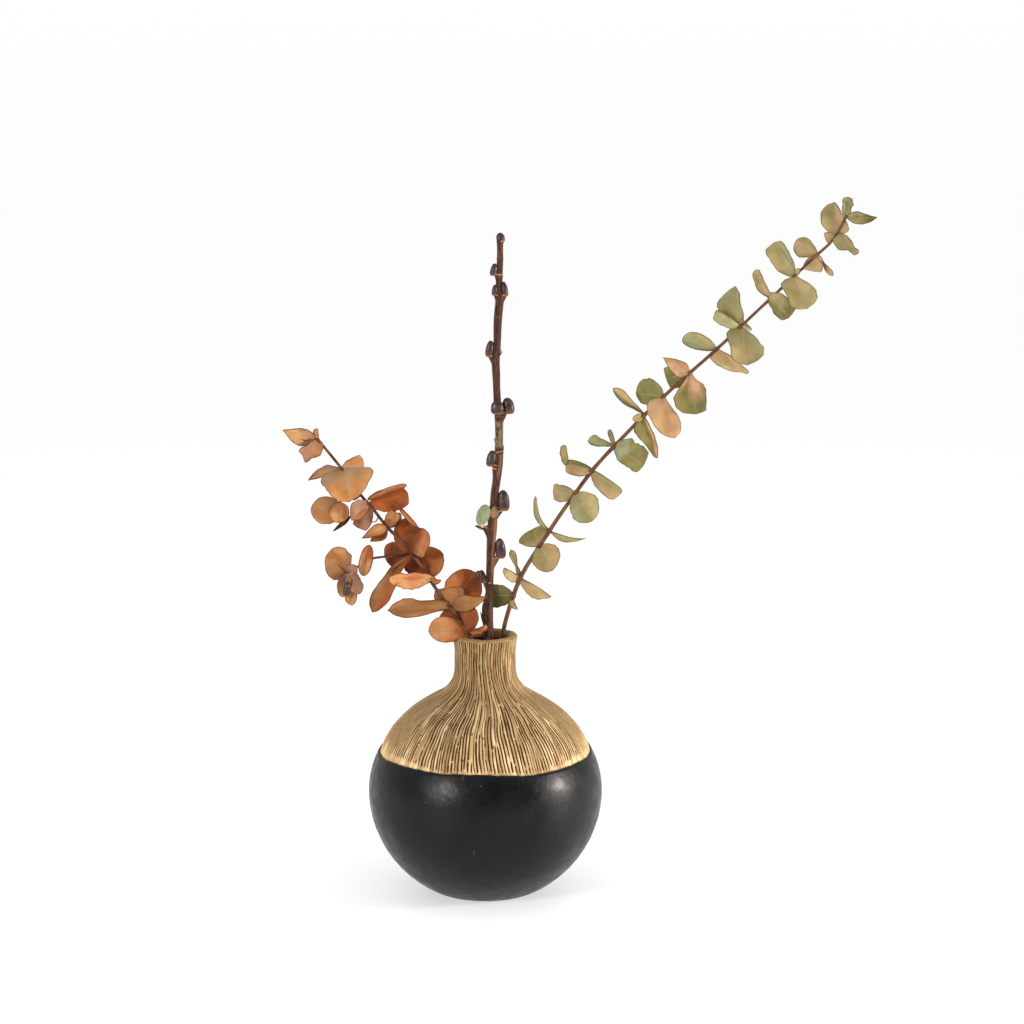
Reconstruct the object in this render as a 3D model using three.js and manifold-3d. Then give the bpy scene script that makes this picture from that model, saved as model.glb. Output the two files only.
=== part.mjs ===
// An ikebana arrangement of three dried stems in a round carved vase.
// Millimetres, +Z up, +Y away from the front. The origin is the centre of the vase's flat foot.
import * as THREE from 'three';
import { mergeVertices } from 'three/addons/utils/BufferGeometryUtils.js';
import Module from 'manifold-3d';

const wasm = await Module();
wasm.setup();

// ---- driving dimensions -------------------------------------------------------------------

const BOWL_RADIUS = 90;
const BOWL_HEIGHT = 78;          // height of the widest place
const LOWER_FLATTENING = 1.03;   // the bowl below its widest place, against a true sphere
const UPPER_FLATTENING = 1.19;   // and above it
const SHOULDER_EDGE = 109.5;     // mean height of the hand-cut edge of the carved shoulder
const EDGE_WAVE = 1.5;           // how far that edge wanders up and down
const CARVED_RECESS = 1.2;       // the carved clay lies this far under the smooth bowl
const BORDER_BAND = 3.5;         // smooth band along the edge, before the grooves start
const GROOVE_DEPTH = 1.1;
const VASE_HEIGHT = 200;
const RIM_RADIUS = 24.7;
const MOUTH_RADIUS = 18.3;
const LIP_ROUND = 2;
const WALL = 6;
const FLOOR = 8;                 // height of the inner floor

const BOWL_SIDES = 48;           // sides round the bowl; the grooved clay has 2 and 4 times these
const BLADE = 0.8;               // leaf thickness
const LEAF_BASE = 0.9;           // half width of a leaf where it is sunk into its stem
const LEAF_TIP = 0.6;
const SMOOTHED = 0.08;           // small steps along the seams of joined solids go away below this

// ---- the vase -----------------------------------------------------------------------------

// shoulder and neck outline from the lip down to the hand-cut edge: radius, height
const SHOULDER = [
  [RIM_RADIUS, VASE_HEIGHT - LIP_ROUND], [23.7, 190], [23.3, 176], [24, 169], [26.3, 163],
  [30.5, 158], [36.5, 154], [45, 149], [54.3, 143], [62.8, 136], [70.2, 128], [77, 118],
  [81.8 - CARVED_RECESS, SHOULDER_EDGE],
];

// a repeatable random number from 0 to 1 for a pair of whole numbers
function chance(first, second) {
  const wave = Math.sin(first * 12.9898 + second * 78.233) * 43758.5453;
  return wave - Math.floor(wave);
}

function bowlRadius(height, inset = 0) {
  const flattening = height < BOWL_HEIGHT ? LOWER_FLATTENING : UPPER_FLATTENING;
  const drop = (height - BOWL_HEIGHT) * flattening;
  return Math.sqrt((BOWL_RADIUS - inset) ** 2 - drop ** 2);
}

function edgeHeight(angle) {
  return SHOULDER_EDGE + EDGE_WAVE * (0.6 * Math.sin(3 * angle + 1) + 0.4 * Math.sin(7 * angle));
}

// one ring of points: its radius and height may change with the angle round the axis
function ring(sides, radius, height) {
  return Array.from({ length: sides }, (_, i) => {
    const angle = (2 * Math.PI * i) / sides;
    const r = typeof radius === 'function' ? radius(angle, i) : radius;
    const z = typeof height === 'function' ? height(angle) : height;
    return [r * Math.cos(angle), r * Math.sin(angle), z];
  });
}

// a ring of the grooved clay: ridges and grooves take turns round it, cut unevenly by hand
function groovedRing(sides, radius, height, row) {
  const cut = (angle, i) => radius - (i % 2) * GROOVE_DEPTH * (0.6 + 0.4 * chance(i, row));
  return ring(sides, cut, height);
}

function vaseRings() {
  const bowlRows = 8;
  const rings = [];
  for (let row = 0; row < bowlRows; row += 1) {
    const height = (BOWL_HEIGHT * 1.28 * row) / (bowlRows - 1);
    rings.push(ring(BOWL_SIDES, bowlRadius(height), height));
  }
  const carved = (height) => bowlRadius(height) - CARVED_RECESS;
  const above = (rise) => (angle) => edgeHeight(angle) + rise;
  rings.push(ring(2 * BOWL_SIDES, (angle) => bowlRadius(edgeHeight(angle)), edgeHeight));
  rings.push(ring(2 * BOWL_SIDES, (angle) => carved(edgeHeight(angle)), above(0.4)));
  const borderTop = (angle) => carved(edgeHeight(angle) + BORDER_BAND);
  rings.push(ring(2 * BOWL_SIDES, borderTop, above(BORDER_BAND)));

  const outline = new THREE.SplineCurve(SHOULDER.map(([r, z]) => new THREE.Vector2(r, z)));
  const points = outline.getSpacedPoints(12).reverse();
  points.slice(1, -1).forEach((point, row) => {
    const sides = row < 3 ? 4 * BOWL_SIDES : 2 * BOWL_SIDES;
    rings.push(groovedRing(sides, point.x, point.y, row));
  });

  rings.push(ring(BOWL_SIDES, RIM_RADIUS, VASE_HEIGHT - LIP_ROUND));
  rings.push(ring(BOWL_SIDES, RIM_RADIUS - LIP_ROUND, VASE_HEIGHT));
  rings.push(ring(BOWL_SIDES, MOUTH_RADIUS + LIP_ROUND, VASE_HEIGHT));
  rings.push(ring(BOWL_SIDES, MOUTH_RADIUS, VASE_HEIGHT - LIP_ROUND));
  const inside = [[17.3, 182], [17.6, 168], [21, 159], [28, 152], [41, 144], [56, 133], [70, 116]];
  inside.forEach(([r, z]) => rings.push(ring(BOWL_SIDES / 2, r, z)));
  [100, BOWL_HEIGHT, 55, 35, 18, FLOOR].forEach((z) => {
    rings.push(ring(BOWL_SIDES / 2, bowlRadius(z, WALL), z));
  });
  return rings;
}

// triangles between two rings, the second with as many points as the first, twice or half
function stitch(lower, upper) {
  const faces = [];
  const n = Math.min(lower.length, upper.length);
  const at = (ids, i) => ids[i % ids.length];
  for (let i = 0; i < n; i += 1) {
    if (lower.length === upper.length) {
      faces.push([at(lower, i), at(lower, i + 1), at(upper, i + 1)]);
      faces.push([at(lower, i), at(upper, i + 1), at(upper, i)]);
    } else if (lower.length < upper.length) {
      faces.push([at(lower, i), at(lower, i + 1), at(upper, 2 * i + 1)]);
      faces.push([at(lower, i), at(upper, 2 * i + 1), at(upper, 2 * i)]);
      faces.push([at(lower, i + 1), at(upper, 2 * i + 2), at(upper, 2 * i + 1)]);
    } else {
      faces.push([at(lower, 2 * i), at(lower, 2 * i + 1), at(upper, i)]);
      faces.push([at(lower, 2 * i + 1), at(lower, 2 * i + 2), at(upper, i + 1)]);
      faces.push([at(lower, 2 * i + 1), at(upper, i + 1), at(upper, i)]);
    }
  }
  return faces;
}

// a closed skin over a stack of rings, with a flat fan over the first ring and the last
function skin(rings) {
  const points = rings.flat();
  const ids = [];
  let next = 0;
  rings.forEach((each) => {
    ids.push(each.map(() => next++));
  });
  const faces = [];
  for (let i = 0; i + 1 < rings.length; i += 1) {
    faces.push(...stitch(ids[i], ids[i + 1]));
  }
  const centre = (each) => [0, 1, 2].map((k) => each.reduce((sum, p) => sum + p[k], 0) / each.length);
  const first = ids[0];
  const last = ids.at(-1);
  points.push(centre(rings[0]), centre(rings.at(-1)));
  first.forEach((id, i) => faces.push([next, first[(i + 1) % first.length], id]));
  last.forEach((id, i) => faces.push([next + 1, id, last[(i + 1) % last.length]]));
  const geometry = new THREE.BufferGeometry();
  geometry.setAttribute('position', new THREE.Float32BufferAttribute(points.flat(), 3));
  geometry.setIndex(faces.flat());
  return geometry;
}

// ---- solids for the stems -----------------------------------------------------------------

function toSolid(geometry) {
  const bare = geometry.clone();
  bare.deleteAttribute('normal');
  bare.deleteAttribute('uv');
  const merged = mergeVertices(bare, 1e-4);
  return new wasm.Manifold(new wasm.Mesh({
    numProp: 3,
    vertProperties: new Float32Array(merged.attributes.position.array),
    triVerts: new Uint32Array(merged.index.array),
  }));
}

// one body of all the solids: a hollow that they seal between them is filled
function fused(solids) {
  const shells = wasm.Manifold.union(solids).simplify(SMOOTHED).decompose();
  shells.sort((a, b) => b.volume() - a.volume());
  const mesh = shells[0].getMesh();
  const geometry = new THREE.BufferGeometry();
  geometry.setAttribute('position', new THREE.BufferAttribute(mesh.vertProperties, 3));
  geometry.setIndex(new THREE.BufferAttribute(mesh.triVerts, 1));
  return geometry;
}

// a tapered rod along a smooth curve through hand-chosen points; radius is read along its length
function rod(points, radius, steps, sides) {
  const knots = points.map((p) => new THREE.Vector3(...p));
  const curve = new THREE.CatmullRomCurve3(knots, false, 'centripetal');
  const { normals, binormals } = curve.computeFrenetFrames(steps, false);
  const rings = [];
  for (let i = 0; i <= steps; i += 1) {
    const centre = curve.getPointAt(i / steps);
    const r = radius(i / steps);
    rings.push(Array.from({ length: sides }, (_, k) => {
      const angle = (2 * Math.PI * k) / sides;
      const rim = centre.clone().addScaledVector(normals[i], r * Math.cos(angle));
      return rim.addScaledVector(binormals[i], r * Math.sin(angle)).toArray();
    }));
  }
  return { curve, solid: toSolid(skin(rings)) };
}

// the point where a stem reaches a height
function pointAtHeight(curve, height) {
  let low = 0;
  let high = 1;
  const climbs = curve.getPointAt(1).z > curve.getPointAt(0).z;
  for (let i = 0; i < 30; i += 1) {
    const middle = (low + high) / 2;
    if (curve.getPointAt(middle).z < height === climbs) low = middle;
    else high = middle;
  }
  return curve.getPointAt(low);
}

// One dried leaf, a thin round blade that starts on the stem's axis. dx, dy, dz reach from there
// to its tip, left and right are its half widths seen from the front, belly is where it is widest
// from 0 at the stem to 1 at the tip, roll turns the blade about its midrib, cup lifts its edges,
// arch bows the midrib forward, bow sideways, twist turns the tip.
function leaf(start, row, seed) {
  const [, dx, dy, dz, left, right, belly = 0.5, roll = 0] = row;
  const [cup = 2, arch = 1, bow = 0, twist = 0] = row.slice(8);
  const reach = new THREE.Vector3(dx, dy, dz);
  const length = reach.length();
  const along = reach.clone().normalize();
  const front = new THREE.Vector3(0, -1, 0);
  const facing = front.addScaledVector(along, -front.dot(along)).normalize();
  const lengthwise = length > 18 ? 6 : 4;
  const across = 2;
  const upper = [];
  const lower = [];
  for (let i = 0; i <= lengthwise; i += 1) {
    const t = (1 - Math.cos((Math.PI * i) / lengthwise)) / 2;
    const swell = 4 * t * (1 - t);
    const spread = t ** (Math.log(0.5) / Math.log(belly));
    const round = 2 * Math.sqrt(spread * (1 - spread));
    const turn = THREE.MathUtils.degToRad(roll + twist * t);
    const normal = facing.clone().applyAxisAngle(along, turn);
    const side = along.clone().cross(normal);
    const rib = start.clone().addScaledVector(reach, t);
    rib.addScaledVector(normal, arch * swell).addScaledVector(side, bow * swell);
    for (let j = 0; j <= across; j += 1) {
      const s = (2 * j) / across - 1;
      const cut = 1 + 0.16 * (chance(seed + i, j) - 0.5) * Math.abs(s);
      const end = (t < 0.5 ? LEAF_BASE : LEAF_TIP) / Math.max(left, right);
      const outline = Math.max(round * cut, end);
      const wave = 0.05 * length * Math.sin(7 * t + 6 * chance(seed, j)) * Math.sqrt(swell);
      const lift = (cup * swell + wave) * s * s;
      const point = rib.clone().addScaledVector(side, s * outline * (s < 0 ? left : right));
      upper.push(point.clone().addScaledVector(normal, lift + BLADE / 2));
      lower.push(point.clone().addScaledVector(normal, lift - BLADE / 2));
    }
  }
  return blade(upper, lower, lengthwise, across);
}

// a closed thin solid between two like grids of points, split into triangles alike on both faces
function blade(upper, lower, rows, columns) {
  const faces = [];
  const wide = columns + 1;
  const under = upper.length;
  const quad = (a, b, c, d) => faces.push(a, b, c, a, c, d);
  for (let i = 0; i < rows; i += 1) {
    for (let j = 0; j < columns; j += 1) {
      const a = i * wide + j;
      quad(a, a + 1, a + wide + 1, a + wide);
      faces.push(under + a, under + a + wide + 1, under + a + 1);
      faces.push(under + a, under + a + wide, under + a + wide + 1);
    }
    const inner = i * wide;
    const outer = inner + columns;
    quad(inner, inner + wide, under + inner + wide, under + inner);
    quad(outer, under + outer, under + outer + wide, outer + wide);
  }
  for (let j = 0; j < columns; j += 1) {
    const end = rows * wide + j;
    quad(j, under + j, under + j + 1, j + 1);
    quad(end, end + 1, under + end + 1, under + end);
  }
  const geometry = new THREE.BufferGeometry();
  const points = [...upper, ...lower].map((p) => p.toArray()).flat();
  geometry.setAttribute('position', new THREE.Float32BufferAttribute(points, 3));
  geometry.setIndex(faces);
  return toSolid(geometry);
}

function leaves(curve, rows, seed) {
  return rows.map((row, k) => leaf(pointAtHeight(curve, row[0]), row, seed + 10 * k));
}

// ---- the rust-coloured spray on the left --------------------------------------------------

const RUST_STEM = [
  [75, -17, 53], [44, -14, 106], [16, -11.5, 155], [9, -11, 167], [-1, -11, 184], [-12, -11, 201],
  [-24, -10, 220], [-31, -10, 228], [-45, -8, 249], [-56, -7, 265], [-74, -5, 284], [-86, -3, 299],
  [-94, -2, 308], [-109, -1, 329], [-127, 1, 351],
];
const RUST_UPPER_TWIG = [[-94, -2, 308], [-99, -4, 305], [-110, -8, 303]];
const RUST_LOWER_TWIG = [
  [-56, -7, 265], [-64, -8, 263], [-77, -10, 262], [-85, -12, 261], [-95, -14, 256], [-105, -15, 250],
];

// height of the node; dx, dy, dz; left, right; belly, roll; cup, arch, bow, twist
const RUST_LEAVES = [
  [203, -29, -9, 3, 8, 15, 0.5, 55, 1, 1, 0, -30],
  [203, 4, -2, 20, 10, 13.5, 0.4, 0, 3, 0],
  [222, -46, -10, -3, 7, 8, 0.55, 30, 1, 0],
  [222, 27, -9, 9, 8, 8, 0.5, 25, 1, 0],
  [222, -15, 8, 5, 8, 9],
  [223, 20, 12, 20, 14, 14, 0.5, 0, 2, -2],
  [245, -28, -14, 5, 8, 6, 0.5, 20, 1],
  [245, -8, 16, 19, 14, 15, 0.5, 0, 3, -2],
  [245, 9, -3, -1, 3, 3, 0.6, 40, 0, 0],
  [264, -23, 14, -6, 12, 11, 0.5, 0, 2],
  [264, -29, -12, -41, 9, 10, 0.65, 20, 2, 0, 3, 40],
  [264, 2, -14, 22, 4, 13, 0.55, -10, 4],
  [264, -8, 13, 23, 7, 9, 0.5, 0, 2],
  [265, -17, 10, 41, 7, 7, 0.5, 72, 1, 6],
  [283.5, -19, -10, -7, 5, 6, 0.5, 20],
  [284, 4, 6, 10, 5, 4],
  [284, -12, 10, -13, 6, 3],
  [284, 9, 4, 10, 4, 4, 0.5, 20],
  [301, 29, -4, 13, 5, 12, 0.6, 0, 4],
  [301, -13, -16, -9, 7, 8, 0.5, 0, 2],
  [300, -14, 12, -18, 8, 5],
  [328, -23, 8, -9, 5, 6, 0.5, 60, 1, 3],
  [328, 12, 12, 5.5, 5, 6, 0.6],
  [328, 11, -16, -22, 18, 18, 0.4, 0, 2],
  [351, -26, -4, 8, 7, 5, 0.45, 0, 1],
  [350, -10, -10, -15, 7, 9, 0.55, 0, 1],
  [350, -1, 1, 8, 2, 2],
];
const RUST_UPPER_TWIG_LEAVES = [
  [303.2, -19, 5, -15, 11, 11, 0.5, 0, 2],
  [303.2, 0, -8, -14, 7, 7, 0.5, 0, 3],
  [303.4, -6, 3, -26, 4, 4, 0.5, 60, 1, -6],
];
const RUST_LOWER_TWIG_LEAVES = [
  [260, 2, 3, 12, 5, 3],
  [260, -3, -3, -11, 5, 4],
  [251, -3, 9, 23, 14, 6],
  [252, 4, -4, 8, 5, 5],
  [251, 8, -5, -9, 5, 6],
  [251, -2, -4, -13, 5, 5],
  [251, 3, -2, -19, 5, 5],
];

function rustSpray() {
  const stem = rod(RUST_STEM, (t) => 1.7 - 0.6 * t, 24, 6);
  const upper = rod(RUST_UPPER_TWIG, () => 0.8, 3, 6);
  const lower = rod(RUST_LOWER_TWIG, (t) => 1 - 0.2 * t, 6, 6);
  return fused([
    stem.solid, upper.solid, lower.solid,
    ...leaves(stem.curve, RUST_LEAVES, 100),
    ...leaves(upper.curve, RUST_UPPER_TWIG_LEAVES, 500),
    ...leaves(lower.curve, RUST_LOWER_TWIG_LEAVES, 600),
  ]);
}

// ---- the budded branch in the middle ------------------------------------------------------

const BRANCH_STEM = [
  [8, -3, 8.6], [6, -2, 110], [4, -1, 197], [2, -1, 215], [2, -1, 225], [4, 0, 242], [4.5, 0, 260],
  [6, -1, 282], [7, -2, 304], [8.5, -1, 317], [10.5, 0, 335], [10.7, 1, 357], [9.6, 1, 382],
  [8.8, 0, 399], [9.2, 0, 439], [10.5, 1, 456], [11, 2, 472], [11.5, 2, 501],
];

// height; direction round the branch in degrees, 180 to the left and 270 to the front; length; width
const BUDS = [
  [216, 180, 8, 3], [246, 185, 9.5, 7.5], [266, 320, 14, 7.5], [291, 180, 18, 11], [304, 350, 14, 8.5],
  [336, 185, 11.5, 7], [344, 0, 4, 4], [350, 190, 4, 4], [376, 275, 10, 7.5], [376, 355, 11.5, 7.2],
  [375, 140, 5, 5], [416, 330, 4, 4], [419.5, 185, 11.5, 5.5], [463.5, 190, 9, 4.5],
  [464, 350, 12.5, 5], [474, 0, 4, 4], [478, 175, 9, 4.7], [497, 200, 5, 4], [502, 90, 7.5, 6.4],
];

function bud(curve, [height, direction, length, width], radiusAt) {
  const shape = new THREE.SphereGeometry(1, 6, 4);
  shape.rotateX(Math.PI / 2);
  shape.scale(width / 2, width / 2, length / 2);
  const centre = pointAtHeight(curve, height);
  const angle = THREE.MathUtils.degToRad(direction);
  const out = radiusAt(height) + 0.28 * width;
  shape.translate(centre.x + out * Math.cos(angle), centre.y + out * Math.sin(angle), centre.z);
  return toSolid(shape);
}

function buddedBranch() {
  const radiusAt = (height) => 4.1 - 1.6 * THREE.MathUtils.clamp((height - 225) / 275, 0, 1);
  const knobbly = (t) => radiusAt(500 * t) * (1 + 0.05 * Math.sin(60 * t));
  const branch = rod(BRANCH_STEM, knobbly, 32, 8);
  return fused([branch.solid, ...BUDS.map((row) => bud(branch.curve, row, radiusAt))]);
}

// ---- the green spray on the right ---------------------------------------------------------

const GREEN_STEM = [
  [-34, 19, 9], [-11, 12, 105], [13, 3, 198], [16, 2, 211], [26, -1, 242], [41.5, -3, 269],
  [60, -6, 298], [81, -9, 328], [104, -11, 354], [134, -14, 385], [172, -17, 420], [208, -20, 455],
  [244, -23, 490], [258, -25, 504], [267, -26, 521],
];

const GREEN_LEAVES = [
  [225, -19, 14, 5, 6, 12, 0.5, 15],
  [227, 5, -4, 6, 4, 4, 0.5, 40, 1, 0],
  [244, -9, 6, 20, 5, 5, 0.6, 40, 0, 0],
  [244, -12, -8, 8, 6, 2, 0.5, 20],
  [244, 22, -6, -14, 3, 8, 0.5, 25],
  [269, -4, 18, 9, 11, 12],
  [269, 8, -19, -15, 12, 13, 0.55],
  [280, -12, 4, 26, 9, 9, 0.5, 76, 0, -4],
  [280, 27, -4, -5, 9, 9, 0.5, 72, 0, 5],
  [310, -16, 20, 1, 8, 7],
  [311, 9, -18, -19, 11, 10],
  [328, -23, 4, 12, 10, 4, 0.6, -25, 4],
  [328, 23, -6, -17, 4, 9, 0.5, 30],
  [347, -19, 16, 2, 3, 8, 0.6],
  [347, -4, 4, 12, 3, 3, 0.5, 20, 0, 0],
  [347, 18, -14, -15.5, 11, 9],
  [371, -25, 6, 19, 7, 4, 0.6, 25],
  [370, -7, -5, -3, 3, 3, 0.5, 20, 0, 0],
  [370, 12, -14, -30, 3, 11, 0.4, 10],
  [385, -22, 16, -6, 6, 14, 0.6],
  [385, 5, -14, -29.5, 9, 14, 0.55, 10],
  [403, -21, -5, 13, 7, 6, 0.55, 20],
  [403, -16, 18, -6.5, 11, 8],
  [403, 8, -16, -28.5, 8, 15, 0.6],
  [420, -26, 6, 8, 7, 9, 0.6, 35],
  [420, 22, -6, -17, 4, 12, 0.3, 20, 2, 1, 0, 20],
  [437, -5, 5, 29, 13, 4, 0.5, 10],
  [437, -18, -4, 14, 3, 6],
  [437, 7, 6, -4, 3, 3, 0.5, 40, 0, 0],
  [437, 6, -14, -27.5, 14, 11, 0.6],
  [457, -9, 8, 14, 6, 4, 0.65, 45],
  [457, 15, -12, -13.5, 9, 8, 0.6],
  [475, -16, 10, 21.5, 11, 6, 0.6],
  [475, 6, -14, -24.5, 12, 13],
  [475, 3, -3, 6, 2, 2, 0.5, 0, 0],
  [490.5, -14, 18, -2, 14, 12],
  [490.5, 12, -4, -16, 6, 6, 0.5, 65, 1],
  [504, -4, 6, 23, 10, 11],
  [504, -8, 10, -3, 5, 4],
  [504, 15, -12, -12.5, 6, 8, 0.6],
  [520, 22, -6, 0, 5, 5, 0.5, 0, 1, 1, 0, 50],
  [520, 1, 3, 14, 4, 4, 0.6, 10],
];

function greenSpray() {
  const stem = rod(GREEN_STEM, (t) => 2.2 - 1.1 * t, 28, 6);
  return fused([stem.solid, ...leaves(stem.curve, GREEN_LEAVES, 900)]);
}

// ---- the arrangement ----------------------------------------------------------------------

function named(name, geometry, color, roughness) {
  const mesh = new THREE.Mesh(geometry, new THREE.MeshStandardMaterial({ color, roughness, metalness: 0 }));
  mesh.name = name;
  return mesh;
}

const arrangement = new THREE.Group();
arrangement.add(named('vase', skin(vaseRings()), 0x2e2f30, 0.4));
arrangement.add(named('rust_eucalyptus', rustSpray(), 0xb06a38, 0.7));
arrangement.add(named('budded_branch', buddedBranch(), 0x55413a, 0.65));
arrangement.add(named('green_eucalyptus', greenSpray(), 0x9a9668, 0.7));

export default arrangement;
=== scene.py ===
import math

import bpy
import numpy as np
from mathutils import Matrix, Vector, noise


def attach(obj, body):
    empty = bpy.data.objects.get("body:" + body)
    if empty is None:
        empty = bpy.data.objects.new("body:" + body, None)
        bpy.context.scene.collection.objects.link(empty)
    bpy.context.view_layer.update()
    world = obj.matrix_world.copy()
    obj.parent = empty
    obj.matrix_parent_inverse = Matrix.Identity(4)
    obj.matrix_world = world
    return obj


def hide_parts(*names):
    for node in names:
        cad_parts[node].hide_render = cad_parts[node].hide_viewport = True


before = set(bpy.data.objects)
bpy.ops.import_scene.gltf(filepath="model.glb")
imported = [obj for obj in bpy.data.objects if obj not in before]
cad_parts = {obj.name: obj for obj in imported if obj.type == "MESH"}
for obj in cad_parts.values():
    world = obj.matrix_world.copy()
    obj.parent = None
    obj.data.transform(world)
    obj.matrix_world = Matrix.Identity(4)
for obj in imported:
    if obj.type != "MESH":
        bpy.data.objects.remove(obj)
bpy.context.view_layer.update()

# ---- the studio ---------------------------------------------------------------------------
# A white table in a white room, with a soft lamp in front on the left, another on the right, and
# a weak broad one above. The camera stands level with the tips and looks a little down.

CAMERA_PLACE = (0.0205, -2.1255, 0.6733)
CAMERA_TILT = 79.9          # degrees up from straight down
LAMPS_AIM = (0, 0, 0.2)
CEILING_TILT, CEILING_SPREAD = 18, 80
TABLE_SIZE, TABLE_GREY, TABLE_GLOW = 400, 0.62, 0.47

bpy.ops.object.camera_add(location=CAMERA_PLACE, rotation=(math.radians(CAMERA_TILT), 0, 0))
camera = bpy.context.object
camera.data.lens = 100
camera.data.sensor_width = 36
bpy.context.scene.camera = camera
bpy.context.scene.view_settings.view_transform = "Standard"


def work_in(node_tree):
    """the node helpers put their nodes into this tree from now on"""
    global tree
    tree = node_tree


def wire(value, socket):
    """a number or colour is set on the socket, and another node's output is linked to it"""
    if isinstance(value, bpy.types.NodeSocket):
        tree.links.new(value, socket)
    else:
        socket.default_value = value


def wire_all(sockets, values):
    for name, value in values.items():
        wire(value, sockets[name])


def new_node(kind, values=None, **settings):
    """a shader node with its settings and what goes into it; gives its outputs"""
    made = tree.nodes.new("ShaderNode" + kind)
    for name, setting in settings.items():
        setattr(made, name, setting)
    wire_all(made.inputs, values or {})
    return made.outputs


def maths(operation, first, second=0.0):
    return new_node("Math", {0: first, 1: second}, operation=operation)[0]


def between(value, low, high, out_low=0.0, out_high=1.0):
    """0 below low and 1 above high, with a soft step between"""
    values = {"Value": value, "From Min": low, "From Max": high,
              "To Min": out_low, "To Max": out_high}
    return new_node("MapRange", values, interpolation_type="SMOOTHSTEP")["Result"]


def new_material(name):
    """a material to work in, and the inputs of its shader"""
    material = bpy.data.materials.new(name)
    material.use_nodes = True
    work_in(material.node_tree)
    return material, tree.nodes["Principled BSDF"].inputs


# the room is white behind the object and at its sides, and dim in front, where the camera stands
room = bpy.data.worlds.new("white room")
room.use_nodes = True
bpy.context.scene.world = room
work_in(room.node_tree)
backwards = new_node("SeparateXYZ", {0: new_node("TexCoord")["Generated"]})["Y"]
room_light = between(backwards, -0.9, 0.1, 0.16, 0.74)
white_to_camera = maths("MAXIMUM", room_light, new_node("LightPath")["Is Camera Ray"])
wire_all(tree.nodes["Background"].inputs, {"Strength": white_to_camera, "Color": (1, 1, 1, 1)})


def soft_light(name, place, size, watts, colour=(1, 1, 1)):
    bpy.ops.object.light_add(type="AREA", location=place)
    lamp = bpy.context.object
    lamp.name = name
    lamp.data.size = size
    lamp.data.energy = watts
    lamp.data.color = colour
    lamp.rotation_euler = (Vector(LAMPS_AIM) - Vector(place)).to_track_quat("-Z", "Y").to_euler()


soft_light("left lamp", (-1.15, -1.25, 0.68), size=0.4, watts=19)
soft_light("right lamp", (1.45, -0.3, 0.42), size=0.34, watts=24, colour=(1, 0.95, 0.92))
bpy.ops.object.light_add(
    type="SUN", location=(0, 0, 2), rotation=(math.radians(CEILING_TILT), 0, 0))
ceiling_light = bpy.context.object
ceiling_light.name = "ceiling light"
ceiling_light.data.energy = 0.5
ceiling_light.data.angle = math.radians(CEILING_SPREAD)

bpy.ops.mesh.primitive_plane_add(size=TABLE_SIZE, location=(0, 0, 0))
table_top = bpy.context.object
table_top.name = "table_top"
white, shader = new_material("white table")
wire_all(shader, {
    "Base Color": (TABLE_GREY, TABLE_GREY, TABLE_GREY, 1), "Roughness": 0.45,
    "Specular IOR Level": 0.3, "Emission Color": (1, 1, 1, 1), "Emission Strength": TABLE_GLOW,
})
table_top.data.materials.append(white)

# ---- the vase -----------------------------------------------------------------------------
# One thrown and fired piece of terracotta: a round bowl with a satin black slip, and a shoulder
# and neck combed by hand into fine grooves and rubbed with straw gold; the grooves, the upper
# shoulder and the neck carry painted shade. The wall is 6 mm thick, the lip is rounded, and the
# bare clay shows inside, near black-brown with painted shade, and round the foot.

MM = 0.001
BOWL_RADIUS, WIDEST = 90.0, 78.0                    # the height where the bowl is widest
LOWER_FLATTENING, UPPER_FLATTENING = 1.03, 1.19     # below and above it, against a true sphere
SHOULDER_EDGE, EDGE_WAVE = 109.5, 1.5               # the carving's edge: mean height and waver
WALL, FLOOR = 6.0, 8.0
BOWL_STEPS = 190
WAVER_FROM, WAVER_POWER = 60, 8                     # the bowl follows the edge more towards it
LIP_WAVES = [(0.13, 5, 0), (0.08, 13, 1)]           # millimetres, waves round the lip, shift
LIP_FROM, GOLD_FROM, LIP_RADIUS = 198, 190, 24      # the first two are heights
FOOT_RECESS = [(0, 1.5), (33, 1.5), (36, 0)]
FOOT_ROUNDING = [(0.35, 0.45), (1.0, 0.12)]         # height, and how far in from the bowl
BOWL_ROWS = (2.5, 5, 9, 14, 20, 27, 34, 42, 50, 58, 66, 74, 82, 90, 97, 102, 105.5, 107.8, 109)
SHOULDER = [
    (24.7, 198), (23.7, 190), (23.3, 176), (24, 169), (26.3, 163), (30.5, 158), (36.5, 154),
    (45, 149), (54.3, 143), (62.8, 136), (70.2, 128), (77, 118), (80.6, 109.5),
]
LIP = [
    (24.75, 198.3), (24.5, 198.9), (23.9, 199.5), (22.8, 199.9), (21.4, 200), (20.0, 199.8),
    (18.9, 199), (18.2, 197.6),
]
NECK_INSIDE = [
    (17.6, 192), (17.3, 182), (17.6, 168), (21, 159), (28, 152), (41, 144), (56, 133), (70, 116),
]


def deselect():
    bpy.ops.object.select_all(action="DESELECT")


def edit(piece, kind="VERT"):
    """edit mode, with nothing selected"""
    bpy.context.view_layer.objects.active = piece
    bpy.ops.object.mode_set(mode="EDIT")
    bpy.ops.mesh.select_mode(type=kind)
    bpy.ops.mesh.select_all(action="DESELECT")


def back_to_object():
    bpy.ops.object.mode_set(mode="OBJECT")


def named_piece(name):
    piece = bpy.context.object
    piece.name = piece.data.name = name
    return piece


def new_grid(name, across, along):
    """a flat grid to shape, with (along + 1) rows of (across + 1) points"""
    deselect()
    bpy.ops.mesh.primitive_grid_add(x_subdivisions=across, y_subdivisions=along, size=1)
    return named_piece(name)


def points_of(piece):
    places = np.empty(len(piece.data.vertices) * 3)
    piece.data.vertices.foreach_get("co", places)
    return places.reshape(-1, 3) / MM


def place_points(piece, points):
    piece.data.vertices.foreach_set("co", (np.asarray(points) * MM).ravel())
    piece.data.update()


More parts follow.
